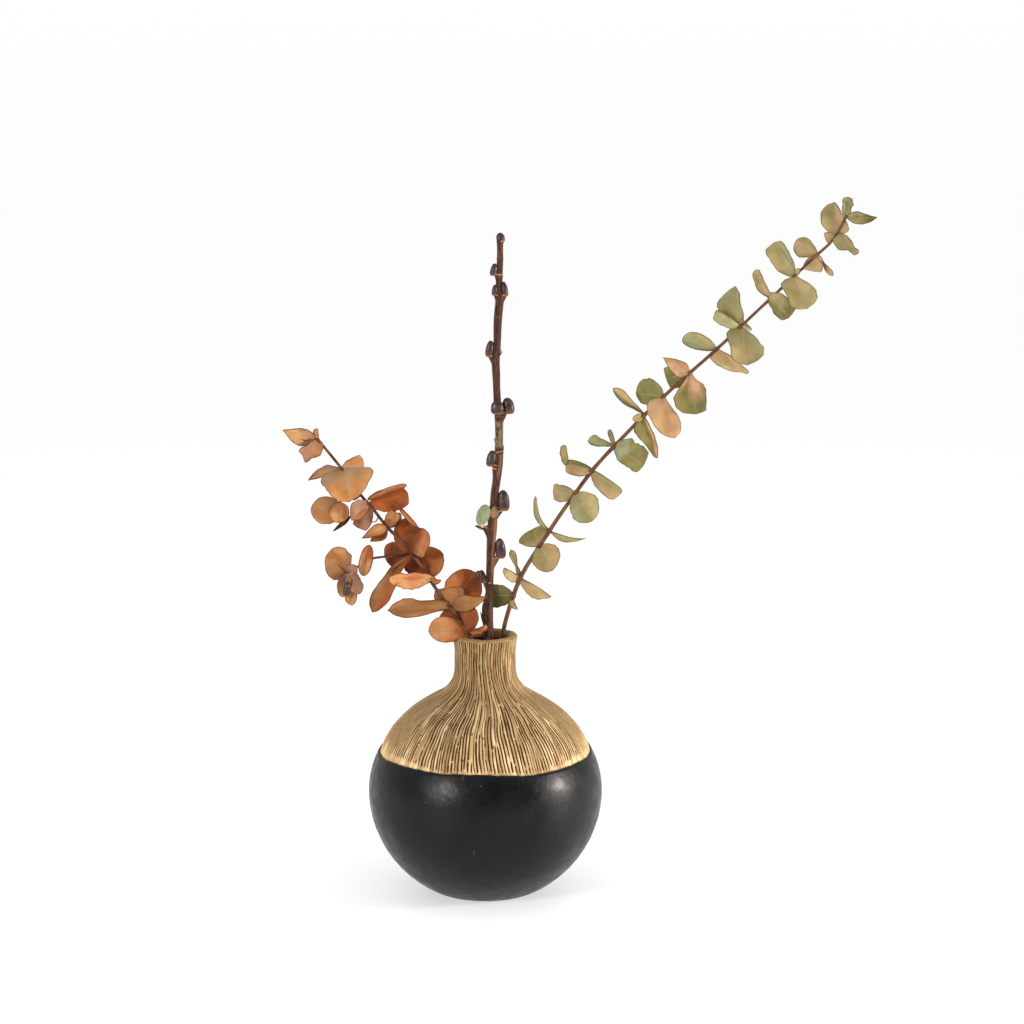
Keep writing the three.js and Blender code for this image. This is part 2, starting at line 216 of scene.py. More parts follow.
def point_values(piece, **values):
    """numbers, or rows of three for a vector, kept on a piece's points; one number serves all"""
    for name, value in values.items():
        value = np.asarray(value, dtype=np.float32)
        if value.ndim == 0:
            value = np.full(len(piece.data.vertices), value)
        kind, field = ("FLOAT_VECTOR", "vector") if value.ndim == 2 else ("FLOAT", "value")
        layer = piece.data.attributes.new(name, kind, "POINT")
        layer.data.foreach_set(field, value.ravel())


def merge_seams(piece, columns=1):
    """points that lie on each other become one; on a grid, those of its first and last column"""
    column = np.arange(len(piece.data.vertices)) % columns
    piece.select_set(True)
    edit(piece)
    back_to_object()
    piece.data.vertices.foreach_set("select", (column == 0) | (column == columns - 1))
    bpy.ops.object.mode_set(mode="EDIT")
    bpy.ops.mesh.remove_doubles(threshold=0.000001)
    bpy.ops.mesh.select_all(action="DESELECT")
    back_to_object()


def face_outwards(piece):
    edit(piece)
    bpy.ops.mesh.select_all(action="SELECT")
    bpy.ops.mesh.normals_make_consistent(inside=False)
    back_to_object()
    bpy.ops.object.shade_smooth()


def chance(first, second=0):
    """a repeatable random number from 0 to 1 for each pair of numbers; where the second is a
    plain number, it only tells one use from the others"""
    wave = np.sin(np.asarray(first) * 12.9898 + np.asarray(second) * 78.233) * 43758.5453
    return wave - np.floor(wave)


def share(value):
    return np.clip(value, 0, 1)


def soft(value):
    """0 below 0 and 1 above 1, with a soft step between"""
    value = share(value)
    return value * value * (3 - 2 * value)


def ranged(low, high, part):
    """a number from low to high"""
    return low + (high - low) * part


def hump(away, width):
    """1 at the middle, and falling off within the width"""
    return np.exp(-(away / width) ** 2)


def turn_from(angle, middle):
    """the turn from a direction, at most half a turn either way"""
    return (angle - middle + np.pi) % (2 * np.pi) - np.pi


def smooth_chance(place, lane):
    """a random number that changes smoothly along place and not from lane to lane"""
    whole = np.floor(place)
    return ranged(chance(whole, lane), chance(whole + 1, lane), soft(place - whole))


def bowl_radius(height, inset=0.0):
    flat = np.where(height < WIDEST, LOWER_FLATTENING, UPPER_FLATTENING)
    return np.sqrt((BOWL_RADIUS - inset) ** 2 - ((height - WIDEST) * flat) ** 2)


def edge_height(angle):
    """where the carving ends: a slow waver, and the small unevenness of a cut by hand"""
    slow = 0.6 * np.sin(3 * angle + 1) + 0.4 * np.sin(7 * angle)
    quick = 0.2 * np.sin(19 * angle + 2 * np.sin(4 * angle))
    quick = quick + 0.12 * np.sin(43 * angle + 3 * np.sin(5 * angle))
    return SHOULDER_EDGE + EDGE_WAVE * slow + quick


def smooth_path(knots, per_span=16):
    """a centripetal Catmull-Rom curve through given points"""
    knots = np.array(knots, dtype=float)
    ends = [2 * knots[0] - knots[1], *knots, 2 * knots[-1] - knots[-2]]
    line = []
    for a, b, c, d in zip(ends, ends[1:], ends[2:], ends[3:]):
        t1 = np.linalg.norm(b - a) ** 0.5
        t2 = t1 + np.linalg.norm(c - b) ** 0.5
        t3 = t2 + np.linalg.norm(d - c) ** 0.5
        for t in np.linspace(t1, t2, per_span, endpoint=False):
            ab = a + (b - a) * t / t1
            bc = b + (c - b) * (t - t1) / (t2 - t1)
            cd = c + (d - c) * (t - t2) / (t3 - t2)
            abc = ab + (bc - ab) * t / t2
            bcd = bc + (cd - bc) * (t - t1) / (t3 - t1)
            line.append(abc + (bcd - abc) * (t - t1) / (t2 - t1))
    return np.array([*line, knots[-1]])


def distance_along(line):
    steps = np.linalg.norm(np.diff(line, axis=0), axis=1)
    return np.concatenate([[0], np.cumsum(steps)])


def evenly(line, count):
    """count points at equal steps along a line"""
    reach = distance_along(line)
    where = np.linspace(0, reach[-1], count)
    return np.stack([np.interp(where, reach, column) for column in line.T], axis=1)


def thrown(name, profile):
    """a profile of (radius, height) points turned round the axis, as on a wheel"""
    deselect()
    bpy.ops.mesh.primitive_plane_add(size=1)
    piece = named_piece(name)
    edit(piece)
    bpy.ops.mesh.select_all(action="SELECT")
    bpy.ops.mesh.merge(type="CENTER")
    bpy.ops.transform.translate(value=(profile[0][0] * MM, 0, profile[0][1] * MM))
    for last, here in zip(profile, profile[1:]):
        step = ((here[0] - last[0]) * MM, 0, (here[1] - last[1]) * MM)
        bpy.ops.mesh.extrude_region_move(TRANSFORM_OT_translate={"value": step})
    bpy.ops.mesh.select_all(action="SELECT")
    bpy.ops.mesh.spin(steps=BOWL_STEPS, angle=2 * math.pi, center=(0, 0, 0), axis=(0, 0, 1))
    back_to_object()
    merge_seams(piece)
    return piece


# the bowl, from the middle of the foot to just below the carving; its edge rises and falls
bowl = thrown("carved_vase", [
    *FOOT_RECESS, (bowl_radius(0.0) - 1.2, 0),
    *[(bowl_radius(z) - inset, z) for z, inset in FOOT_ROUNDING],
    *[(bowl_radius(z), z) for z in BOWL_ROWS], (bowl_radius(SHOULDER_EDGE) - 0.35, SHOULDER_EDGE),
])
at = points_of(bowl)
angle, height = np.arctan2(at[:, 1], at[:, 0]), at[:, 2]
rise = (edge_height(angle) - SHOULDER_EDGE) * (height / SHOULDER_EDGE) ** WAVER_POWER
fit = np.where(height > WAVER_FROM, bowl_radius(height + rise) / bowl_radius(height), 1)
place_points(bowl, np.stack([at[:, 0] * fit, at[:, 1] * fit, height + rise], axis=1))
at_foot = share((1.1 - height) / 0.7)
point_values(bowl, hollow=0, gold=0, bare_clay=at_foot, worn=0, tone=0.5, comb=at)

# the lip and the inside, down to the middle of the floor
inside = thrown("inside", [
    *LIP, *NECK_INSIDE, *[(bowl_radius(z, WALL), z) for z in (100, 78, 55, 35, 18)],
    (bowl_radius(FLOOR, WALL) - 4, FLOOR), (0, FLOOR),
])
at = points_of(inside)
angle = np.arctan2(at[:, 1], at[:, 0])
lip_wave = sum(size * np.sin(waves * angle + shift) for size, waves, shift in LIP_WAVES)
lip_wave = lip_wave * (at[:, 2] > LIP_FROM)
at[:, 2] += lip_wave
at[:, :2] *= 1 + 0.6 * lip_wave[:, None] / LIP_RADIUS
place_points(inside, at)
on_lip = share((at[:, 2] - GOLD_FROM) / 6)
point_values(inside, hollow=0, gold=on_lip, bare_clay=1 - on_lip, worn=0.3, tone=0.35, comb=at)

# the comb's grooves: few at the lip, and new ones squeeze in between as the shoulder widens.
# Each has its own lane of six columns: the groove's bottom, its wall and lip, the ridge, and
# the lip and wall of the next groove.
GROOVES, CARVED_ROWS = 196, 72
GROOVE_DEPTH, TONE_DEPTH, BEAD_HEIGHT, UNEVENNESS = 1.1, 0.3, 0.45, 0.5
PLACE_IN_LANE = np.array([0, 0.17, 0.29, 0.5, -0.29, -0.17])     # below zero: from the next groove
DEPTH_IN_LANE = np.array([1, 0.72, 0.16, 0, 0.16, 0.72])
LANE = len(PLACE_IN_LANE)
RIDGE = 3                    # the ridge's column in its lane
COLUMNS = LANE * GROOVES
PITCHES = [(109, 2.55), (125, 2.4), (140, 2.2), (150, 2.05), (165, 2.0), (200, 2.15)]
GAPES = [(112, 0.8), (128, 0.95), (150, 1), (162, 1.24)]         # height, width of the cut
WIDEST_GAPE = 1.5
CARVING_TOP = 197.4
BORDER_IN_FRONT, BORDER_BEHIND = 0.3, 2.4    # the smooth band between the grooves and the edge
FRONT = 1.52 * np.pi
EDGE_PULL = 22               # so far up, the grooves follow the edge's waver
SPREAD = 0.618034            # the golden share puts each new groove far from the last ones
EASE_ROWS = 12
LIFTS, CRUMBS = 38, 170

outline = evenly(smooth_path(SHOULDER)[::-1], CARVED_ROWS + 1)
height = outline[:, 1:2]
lanes = np.arange(GROOVES)[None, :]
rows_up = np.arange(CARVED_ROWS + 1)[:, None]
room_for = 2 * np.pi * outline[:, 0] / np.interp(outline[:, 1], *zip(*PITCHES))
order = (np.arange(GROOVES) * SPREAD) % 1 * GROOVES
order = order + ranged(-4.5, 4.5, chance(np.arange(GROOVES), 5))
begun = soft((room_for[:, None] - order[None, :]) / 6)
widths = ranged(0.06, 1, begun) * ranged(0.74, 1.26, chance(lanes, 7))
widths = widths * ranged(0.92, 1.08, smooth_chance(rows_up / 20 + chance(lanes, 1), lanes))
around = np.cumsum(widths, axis=1)
starts = (around - widths) / around[:, -1:]
reach = np.arange(-EASE_ROWS, EASE_ROWS + 1)
ease = hump(reach, EASE_ROWS / 2) / hump(reach, EASE_ROWS / 2).sum()
eased = np.pad(starts, ((EASE_ROWS, EASE_ROWS), (0, 0)), "edge")
starts = sum(part * eased[EASE_ROWS + k:EASE_ROWS + 1 + k + CARVED_ROWS]
             for k, part in zip(reach, ease))
lane_width = np.hstack([starts[:, 1:], np.ones((CARVED_ROWS + 1, 1))]) - starts

# a groove falters, is cut wider or finer, and stops short of the edge and of the lip
cut = begun * ranged(0.8, 1, chance(lanes, 9))
cut *= ranged(0.72, 1.17, smooth_chance(rows_up / 6 + chance(lanes, 2), lanes + 300))
falter = smooth_chance(rows_up / 2.6 + 7 * chance(lanes, 3), lanes + 600)
cut *= np.clip((falter - 0.03) * 9, 0.15, 1)
gape = ranged(0.72, 1.42, smooth_chance(rows_up / 7 + chance(lanes, 4), lanes + 1200))
gape = np.minimum(gape * np.interp(height, *zip(*GAPES)), WIDEST_GAPE)

# blocks where the comb was lifted, and one or two ridges stayed in one
lifted = np.zeros_like(cut)
for i in range(LIFTS):
    wide, tall = int(1 + chance(i, 31) * 1.9), int(6 + chance(i, 32) * 16)
    first, bottom = int(chance(i, 33) * GROOVES), int(chance(i, 34) * (CARVED_ROWS - 16))
    for k in range(wide):
        rows = slice(bottom + k, bottom + tall - 2 * k)
        lifted[rows, (first + k) % GROOVES] = ranged(0.5, 0.75, chance(i, 35 + k))
cut *= 1 - lifted

# where each column runs: its groove's start and its own place in the room between two grooves
lane = np.arange(COLUMNS) // LANE
in_lane = np.tile(PLACE_IN_LANE, GROOVES)
owner = np.where(in_lane < 0, lane + 1, lane) % GROOVES
offset = in_lane * np.where(in_lane == PLACE_IN_LANE[RIDGE], 1, gape[:, owner])
across = starts[:, lane] + lane_width[:, lane] * np.where(offset < 0, 1 + offset, offset)
shake = smooth_chance(rows_up / 3.5 + 5 * chance(lanes, 8), lanes + 50)
shake = ranged(-0.13, 0.13, shake) / outline[:, :1]
carved_angle = 2 * np.pi * across + shake[:, owner]
carved_angle += 0.006 * np.sin(height / 8 + 5 * np.sin(carved_angle))

# no column crosses the one before it
LEAST_TURN = 0.0001
in_order = LEAST_TURN * np.arange(COLUMNS)
carved_angle = np.maximum.accumulate(carved_angle - in_order, axis=1)
full_turn = carved_angle[:, :1] + 2 * np.pi - LEAST_TURN * COLUMNS
carved_angle = np.minimum(carved_angle, full_turn) + in_order
cut = cut[:, owner]

# the grooves stop at a smooth band over the edge, wider away from the front, and under the lip
away = soft((np.abs(turn_from(carved_angle, FRONT)) - 0.4) / 0.7)
border = BORDER_BEHIND * away * ranged(0.5, 1.5, smooth_chance(carved_angle * 2.1, 11))
border += BORDER_IN_FRONT + chance(owner[None, :], 12)
rise = height - SHOULDER_EDGE
wave = (edge_height(carved_angle) - SHOULDER_EDGE) * share(1 - rise / EDGE_PULL) ** 2
at_edge = share((rise - border) / 1.4)
at_lip = share((CARVING_TOP - height + 3.2 * chance(owner[None, :], 13)) / 1.6)

# patches where the comb hardly bit, or where the ridges were rubbed smooth: direction, height,
# half width in radians, half height, and how much of the carving is gone
WORN_PATCHES = [
    (3.42, 136, 0.4, 22, 0.72), (2.92, 150, 0.3, 12, 0.6), (6.1, 138, 0.36, 20, 0.75),
    (5.75, 152, 0.25, 9, 0.45), (3.2, 178, 0.5, 22, 0.5), (6.2, 178, 0.5, 22, 0.5),
    (1.2, 135, 0.3, 16, 0.8), (2.1, 122, 0.2, 8, 0.6), (4.3, 133, 0.09, 6, 0.5),
    (5.25, 122, 0.1, 6, 0.5), (0.5, 124, 0.2, 7, 0.6),
]
worn = np.zeros((CARVED_ROWS + 1, COLUMNS))
ripple = smooth_chance(carved_angle * 40, 21) + smooth_chance(rows_up / 4, 22)
for centre, middle, wide, tall, gone in WORN_PATCHES:
    away = turn_from(carved_angle, centre)
    far = np.sqrt((away / wide) ** 2 + ((height - middle) / tall) ** 2) + 0.3 * ripple
    worn = np.maximum(worn, gone * share((1.4 - far) * 2))
cut = cut * at_edge * at_lip * (1 - worn)
hollow = np.tile(DEPTH_IN_LANE, GROOVES) * cut

# knots: a crumb of clay left on a ridge by the comb, with a pit under it, darkened by painted
# shade
knots = np.zeros_like(hollow)
for i in range(CRUMBS):
    row = int(6 + chance(i, 41) * (CARVED_ROWS - 14))
    column = int(chance(i, 42) * GROOVES) * LANE + RIDGE
    size = ranged(0.25, 0.65, chance(i, 43))
    for up, over, much in ((0, 0, 1), (1, 0, 0.4), (0, 1, 0.5), (0, -1, 0.5), (-1, 0, -0.7)):
        knots[row + up, (column + over) % COLUMNS] = size * much
    hollow[row - 1, column % COLUMNS] = 0.8

# the carved surface, with a tone for each ridge, and a bead of clay pushed up along the edge
carved_height = height + wave
ridge_tone = 0.45 * smooth_chance(rows_up / 5 + chance(lanes, 6), lanes + 900)
ridge_tone = (ridge_tone + 0.55 * chance(lanes, 6)) * (1 - 0.7 * lifted)
unevenness = smooth_chance(rows_up / 6, 51) + smooth_chance(carved_angle * 9, 52) - 1
bead = share(1 - np.abs(rise - 0.8) / 0.9)
carved_radius = np.interp(carved_height, outline[:, 1], outline[:, 0]) + knots
carved_radius += UNEVENNESS * unevenness + BEAD_HEIGHT * bead
carved_radius -= GROOVE_DEPTH * hollow + TONE_DEPTH * ridge_tone[:, lane] * cut

# below the first carved row a notch runs in under the edge: radius, how far down, gold or not
NOTCH = [(79.8, -0.55, 0), (79.9, -0.1, 1)]
radii = np.vstack([*[np.full((1, COLUMNS), radius) for radius, _, _ in NOTCH], carved_radius])
heights = np.vstack([*[carved_height[:1] + down for _, down, _ in NOTCH], carved_height])
shoulder = new_grid("shoulder", COLUMNS, len(radii) - 1)


def round_trip(values):
    """the notch's rows, then the carved rows, and the first column again at the seam"""
    values = np.vstack([*[values[:1]] * (len(radii) - len(values)), values])
    return np.hstack([values, values[:, :1]]).ravel()


def on_ring(radius, turn, height):
    return np.stack([radius * np.cos(turn), radius * np.sin(turn), height], axis=1)


place_points(shoulder, on_ring(round_trip(radii), round_trip(carved_angle), round_trip(heights)))

# the streaks along the ridges and grooves are read where these would stand on an even ring
COMB_RING = 60
lane_angle = 2 * np.pi * (lane + in_lane % 1) / GROOVES + 0 * hollow
gold_rows = [gold for _, _, gold in NOTCH] + [1] * (CARVED_ROWS + 1)
point_values(
    shoulder, hollow=round_trip(hollow), bare_clay=0, worn=round_trip(worn),
    tone=round_trip(ridge_tone[:, lane]), gold=np.repeat(gold_rows, COLUMNS + 1),
    comb=on_ring(COMB_RING, round_trip(lane_angle), round_trip(height + 0 * hollow)))
merge_seams(shoulder, COLUMNS + 1)

# the three are joined and their open edges bridged, first at the carving's edge, then at the lip
deselect()
for each in (shoulder, inside, bowl):
    each.select_set(True)
bpy.context.view_layer.objects.active = bowl
bpy.ops.object.join()
vase = bpy.context.object
MIDWAY, OVER_ALL = 150, 300
for low, high in ((0, MIDWAY), (MIDWAY, OVER_ALL)):
    edit(vase, "EDGE")
    bpy.ops.mesh.select_non_manifold(extend=False)
    back_to_object()
    tall = points_of(vase)[:, 2]
    for edge_line in [e for e in vase.data.edges if e.select]:
        edge_line.select = low <= tall[edge_line.vertices[0]] < high
    bpy.ops.object.mode_set(mode="EDIT")
    bpy.ops.mesh.bridge_edge_loops()
    back_to_object()
face_outwards(vase)


def rgb(red, green, blue):
    """a colour as a camera sees it, 0 to 255, made linear"""
    shares = [each / 255 for each in (red, green, blue)]
    return (*[s / 12.92 if s < 0.04045 else ((s + 0.055) / 1.055) ** 2.4 for s in shares], 1)


def mix(amount, first, second, blend="MIX"):
    values = {0: amount, 6: first, 7: second}
    return new_node("Mix", values, data_type="RGBA", blend_type=blend)[2]


def tinted(colour, filter_colour):
    return mix(1.0, colour, filter_colour, "MULTIPLY")


def plus(first, second):
    return maths("ADD", first, second)


def times(first, second):
    return maths("MULTIPLY", first, second)


def kept(name, output="Fac"):
    """a value that is kept on the points of a piece"""
    return new_node("Attribute", attribute_name=name)[output]


def speckle(where, scale, detail=3.0, rough=0.55, stretch=None):
    if stretch:
        where = new_node("Mapping", {"Vector": where, "Scale": stretch})["Vector"]
    values = {"Vector": where, "Scale": scale, "Detail": detail, "Roughness": rough}
    return new_node("TexNoise", values)["Fac"]


def relief(height, depth):
    """a height, in units of depth in metres, as the normals that it gives"""
    return new_node("Bump", {"Distance": depth, "Height": height})["Normal"]


def in_object():
    return new_node("TexCoord")["Object"]


clay, shader = new_material("slip and combed clay")
where = in_object()
up = new_node("SeparateXYZ", {0: where})["Z"]
hollow_here, bare_here, gold_here, worn_here, tone_here = (
    kept(name) for name in ("hollow", "bare_clay", "gold", "worn", "tone"))
comb = kept("comb", "Vector")
grain = speckle(where, 900, 3)
blotch = speckle(where, 38, 4)
streak = speckle(comb, 0.9, 4, 0.6, (1, 1, 0.1))
fine_streak = speckle(comb, 2.6, 3, 0.6, (1, 1, 0.05))

# the ridges: straw gold, duller where they are worn, with a few dark gashes up the neck; painted
# shade makes them darker from the upper shoulder up, and darker and greyer still up the neck
warmth = plus(times(tone_here, 0.55), times(streak, 0.75))
straw = mix(between(warmth, 0.4, 0.95), rgb(174, 134, 86), rgb(242, 212, 158))
straw = mix(between(fine_streak, 0.5, 0.75, 0, 0.5), straw, rgb(140, 102, 62))
dull = mix(between(fine_streak, 0.35, 0.65), rgb(134, 106, 68), rgb(182, 148, 100))
straw = mix(between(worn_here, 0.1, 0.75), straw, dull)
straw = mix(between(up, 0.116, 0.134), straw, tinted(straw, rgb(236, 239, 238)))
on_neck = between(up, 0.135, 0.165)
straw = mix(times(on_neck, 0.8), straw, tinted(straw, rgb(222, 211, 198)))
gash = between(speckle(comb, 0.42, 3, 0.6, (1, 1, 0.14)), 0.56, 0.66)
straw = mix(times(gash, times(on_neck, 0.7)), straw, rgb(84, 58, 36))
straw = mix(between(blotch, 0.5, 0.75, 0, 0.35), straw, rgb(150, 114, 72))

# the grooves: painted shade, browner and darker the deeper they are cut
groove_shade = mix(between(grain, 0.35, 0.65), rgb(54, 36, 22), rgb(84, 59, 37))
depth = plus(hollow_here, times(maths("SUBTRACT", grain, 0.5), 0.3))
combed = mix(between(depth, 0.0, 0.3, 0, 0.45), straw, tinted(straw, rgb(196, 176, 150)))
combed = mix(between(depth, 0.16, 0.5), combed, groove_shade)

# the black slip, with a few pale specks and short scratches, and the bare clay
slip = mix(between(blotch, 0.35, 0.7), rgb(7, 8, 10), rgb(14, 15, 16))
for mark, low, high, strength in (
    (speckle(where, 420, 2, 0.5), 0.74, 0.8, 0.5),
    (speckle(where, 240, 2, 0.5, (1, 1, 0.06)), 0.7, 0.78, 0.2),
):
    slip = mix(between(mark, low, high, 0, strength), slip, rgb(112, 106, 98))
fired = mix(between(blotch, 0.3, 0.7), rgb(118, 64, 44), rgb(92, 50, 36))
# painted shade: the bare clay inside the neck and lip, above about 100 to 140 mm, is near
# black-brown
inside_shade = mix(between(grain, 0.3, 0.7), rgb(42, 30, 20), rgb(58, 42, 28))
fired = mix(between(up, 0.1, 0.14), fired, inside_shade)

colour = mix(between(gold_here, 0.35, 0.65), slip, combed)
slip_rough = between(speckle(where, 70, 5, 0.65), 0.35, 0.65, 0.29, 0.43)
rough = mix(between(gold_here, 0.35, 0.65), slip_rough, between(depth, 0.1, 0.7, 0.5, 0.8))
uneven = plus(times(grain, 0.12), times(speckle(where, 60, 4), 1.5))
uneven = plus(uneven, times(times(fine_streak, gold_here), 0.5))
wire_all(shader, {
    "Base Color": mix(between(bare_here, 0.3, 0.7), colour, fired),
    "Roughness": mix(bare_here, rough, (0.85, 0.85, 0.85, 1)),
    "Normal": relief(uneven, 0.0004), "Specular IOR Level": 0.2,
})
vase.data.materials.append(clay)
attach(vase, "root")
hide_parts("vase")

# ---- the rust-coloured spray on the left ----------------------------------------------------
# One stem of dried, dyed eucalyptus with two side twigs. Round leaves sit on it in crossed
# pairs, curled and cupped as they dried, orange inside and tan or grey-mauve on their backs.

RUST_STEM = [
    (75, -17, 53), (44, -14, 106), (16, -11.5, 155), (9, -11, 167), (-1, -11, 184),
    (-12, -11, 201), (-24, -10, 220), (-31, -10, 228), (-45, -8, 249), (-56, -7, 265),
    (-74, -5, 284), (-86, -3, 299), (-94, -2, 308), (-109, -1, 329), (-127, 1, 351),
]
RUST_UPPER_TWIG = [(-94, -2, 308), (-99, -4, 305), (-104, -6, 306), (-111, -6, 303)]
RUST_LOWER_TWIG = [
    (-56, -7, 265), (-64, -8, 263), (-77, -10, 262), (-85, -12, 261), (-95, -14, 256),
    (-105, -15, 250),
]

# how wide a leaf is along its length, as shares of the half width given with it; where there are
# two lines, the first is for its left edge
LEAF_OUTLINES = {
    "pointed": [(0, 0.1), (0.08, 0.42), (0.2, 0.8), (0.34, 1), (0.5, 0.96), (0.66, 0.74),
                (0.82, 0.42), (0.94, 0.14), (1, 0)],
    "spoon": (
        [(0, 0.12), (0.15, 0.3), (0.3, 0.5), (0.42, 0.8), (0.56, 1), (0.74, 0.96), (0.87, 0.7),
         (0.95, 0.42), (1, 0.1)],
        [(0, 0.12), (0.15, 0.32), (0.3, 0.5), (0.5, 0.66), (0.6, 0.82), (0.73, 1), (0.83, 0.95),
         (0.94, 0.58), (1, 0.1)],
    ),
    "strap": [(0, 0.35), (0.1, 0.7), (0.3, 0.95), (0.7, 1), (0.9, 0.85), (0.97, 0.6), (1, 0.2)],
    "cut": [(0, 0.2), (0.1, 0.52), (0.3, 0.86), (0.6, 1), (0.84, 0.97), (0.95, 0.84), (1, 0.6)],
    "paddle": (
        [(0, 0.1), (0.2, 0.3), (0.5, 0.85), (0.75, 1), (0.9, 0.62), (1, 0)],
        [(0, 0.35), (0.08, 0.62), (0.2, 0.78), (0.5, 0.72), (0.6, 0.93), (0.75, 1), (0.9, 0.62),
         (0.96, 0.3), (1, 0)],
    ),
    "fan": (
        [(0, 0.05), (0.06, 0.34), (0.1, 0.66), (0.17, 0.9), (0.25, 0.97), (0.36, 0.98),
         (0.5, 0.92), (0.62, 0.8), (0.81, 0.6), (0.9, 0.42), (1, 0.1)],
        [(0, 0.4), (0.05, 0.83), (0.2, 1), (0.32, 1), (0.75, 0.71), (0.94, 0.38), (1, 0.1)],
    ),
    "torn": (
        [(0, 0.5), (0.12, 0.86), (0.3, 0.97), (0.48, 1), (0.65, 0.72), (0.77, 0.32), (0.9, 0.24),
         (1, 0.08)],
        [(0, 0.2), (0.2, 0.45), (0.45, 0.72), (0.6, 0.98), (0.77, 1), (0.82, 0.5), (0.9, 0.32),
         (1, 0.08)],
    ),
    "hood": (
        [(0, 0.05), (0.2, 0.38), (0.45, 0.72), (0.62, 1), (0.76, 0.86), (0.88, 0.6), (1, 0.3)],
        [(0, 0.75), (0.06, 0.95), (0.2, 1), (0.7, 0.94), (0.86, 0.74), (0.95, 0.5), (1, 0.3)],
    ),
    "kidney": (
        [(0, 0.7), (0.06, 0.96), (0.3, 1.03), (0.5, 1), (0.78, 0.78), (0.92, 0.5), (1, 0.2)],
        [(0, 0.1), (0.2, 0.62), (0.42, 1), (0.7, 0.92), (0.9, 0.55), (1, 0.2)],
    ),
    "shield": (
        [(0, 0.3), (0.2, 0.6), (0.6, 1), (0.8, 0.85), (1, 0.1)],
        [(0, 0.45), (0.3, 0.84), (0.62, 1), (0.74, 0.94), (0.86, 0.6), (1, 0.1)],
    ),
}
LEAF_HABITS = {"shape": None, "belly": 0.5, "roll": 0, "cup": 2, "arch": 1, "bow": 0, "twist": 0,
               "ragged": 1, "fold": 0, "hook": 0, "lip": 0, "shift": (0, 0, 0)}


def blade(node, colours, reach, left, right, **habits):
    """one leaf: height of its node; colours of front and back, "a-b" from base to tip or "a|b"
    from left to right; reach x, y, z; half widths left and right; and what else it does: its
    outline's name, or where it is widest; degrees of roll, twist and fold; millimetres of cup,
    arch, bow, hook, lip and shift; how ragged its edge is"""
    return node, colours, np.array(reach, dtype=float), left, right, {**LEAF_HABITS, **habits}


RUST_LEAVES = [
    blade(203, "rust-tan/rust", (-29.5, -9, 4), 8, 12, belly=0.58, roll=18, cup=-1.5),
    # partly the leaf's deep orange, partly painted shade: the dark front stands for the inside of
    # its cup
    blade(203, "dark|dark/tan", (-7, 5, 23), 19, 12.5, belly=0.52, cup=4),
    blade(203, "peach/rust", (15, -6, 8), 2.6, 3.2, shape="strap", ragged=3, roll=35, hook=1),
    blade(222, "fawn/grey", (-48, -10, 0.5), 6.2, 9, shape="paddle", roll=12, cup=1.5, lip=0.8),
    blade(222, "fawn-tan/rust", (28, -9, 12), 8, 6.5, shape="pointed", roll=15, cup=1),
    blade(222, "rust-fawn/rust", (-1, 4, 15.5), 12.5, 11, shape="cut", cup=1),
    blade(223, "rust-dark/rust", (19, 11, 25), 14.5, 14, cup=2, arch=-2),
    blade(245, "tan-peach/dark", (-35, -14, 3), 8.6, 4.6, belly=0.56, shift=(5, 0, 0), ragged=2.6,
          roll=-8, cup=-2.5),
    blade(245, "rust/tan", (9, -3, -1), 2.6, 3, belly=0.6, roll=30),
    # partly the leaf's deep orange, partly painted shade: the dark left half is the shade inside
    # the cup
    blade(245, "dark|rust/rust", (-4.5, 13, 22), 17, 14, cup=4, arch=-2),
    blade(264, "rust-dark/rust", (-21.5, 12, -4.5), 10.5, 11.5, cup=2),
    blade(264, "rust|fawn/rust", (-30, -12, -43), 10, 7.4, shape="spoon", bow=3.2, roll=6,
          twist=35, cup=1.5, fold=12),
    # partly the leaf's deep orange, partly painted shade: the dark left half is the hood's shaded
    # inside
    blade(264, "dark|peach/tan", (10, -14, 21.5), 12.5, 9.2, shape="hood", cup=5),
    blade(264, "dark/rust", (-5.5, 12, 25), 11, 9, cup=2.5),
    blade(265, "peach/tan", (-19.7, 2, 21.6), 2.4, 1.6, shape="pointed", shift=(6.6, 0, 17.5),
          cup=0.6),
    blade(283.5, "tan/rust", (-19.5, -9, -6.5), 3.6, 6, shape="pointed", fold=14, roll=8),
    blade(284, "fawn-tan/tan", (6.5, -4, 12.5), 5.2, 5, shape="cut", cup=1),
    blade(284, "brown-rust/tan", (-13, -1, -11), 6, 3, shape="pointed", roll=10),
    blade(284, "brown/tan", (10, 4, 10), 3.6, 4, roll=20),
    blade(301, "ember/grey", (29.5, -3, 9), 6, 9.5, shape="cut", cup=4, arch=-1),
    blade(301, "peach/mauve", (30, -7, 12.5), 2.2, 2.6, shape="strap", roll=-25,
          shift=(-1, -1, 4), arch=2),
    blade(301, "peach|mauve/tan", (-13, -12, -10), 4.4, 10.2, shape="shield", fold=12, cup=1),
    blade(300, "mauve/tan", (-9.5, 5, -18), 7, 6, shape="cut", cup=2),
    blade(328, "tan|mauve/tan", (-26, 4, -9.5), 4.6, 4.4, shape="pointed", cup=1, bow=2.4,
          ragged=1.6),
    blade(328, "grey-tan/grey", (16, 4, 6), 5.4, 5, shape="cut", cup=1),
    blade(328, "grey-orange/tan", (5.6, -11, -23.5), 23, 17.4, shape="fan", cup=3, fold=4),
    blade(351, "mauve-pale/mauve", (-25.8, -4, 7), 8.4, 5.2, shape="pointed", cup=1.5),
    blade(350, "tan|mauve/mauve", (-9.2, -9, -16), 7.4, 8.6, shape="torn", cup=1.5, ragged=1.6),
    blade(350, "peach/tan", (-1.5, 1, 8.4), 2.4, 1.8, shape="cut", ragged=4, cup=0.5),
]
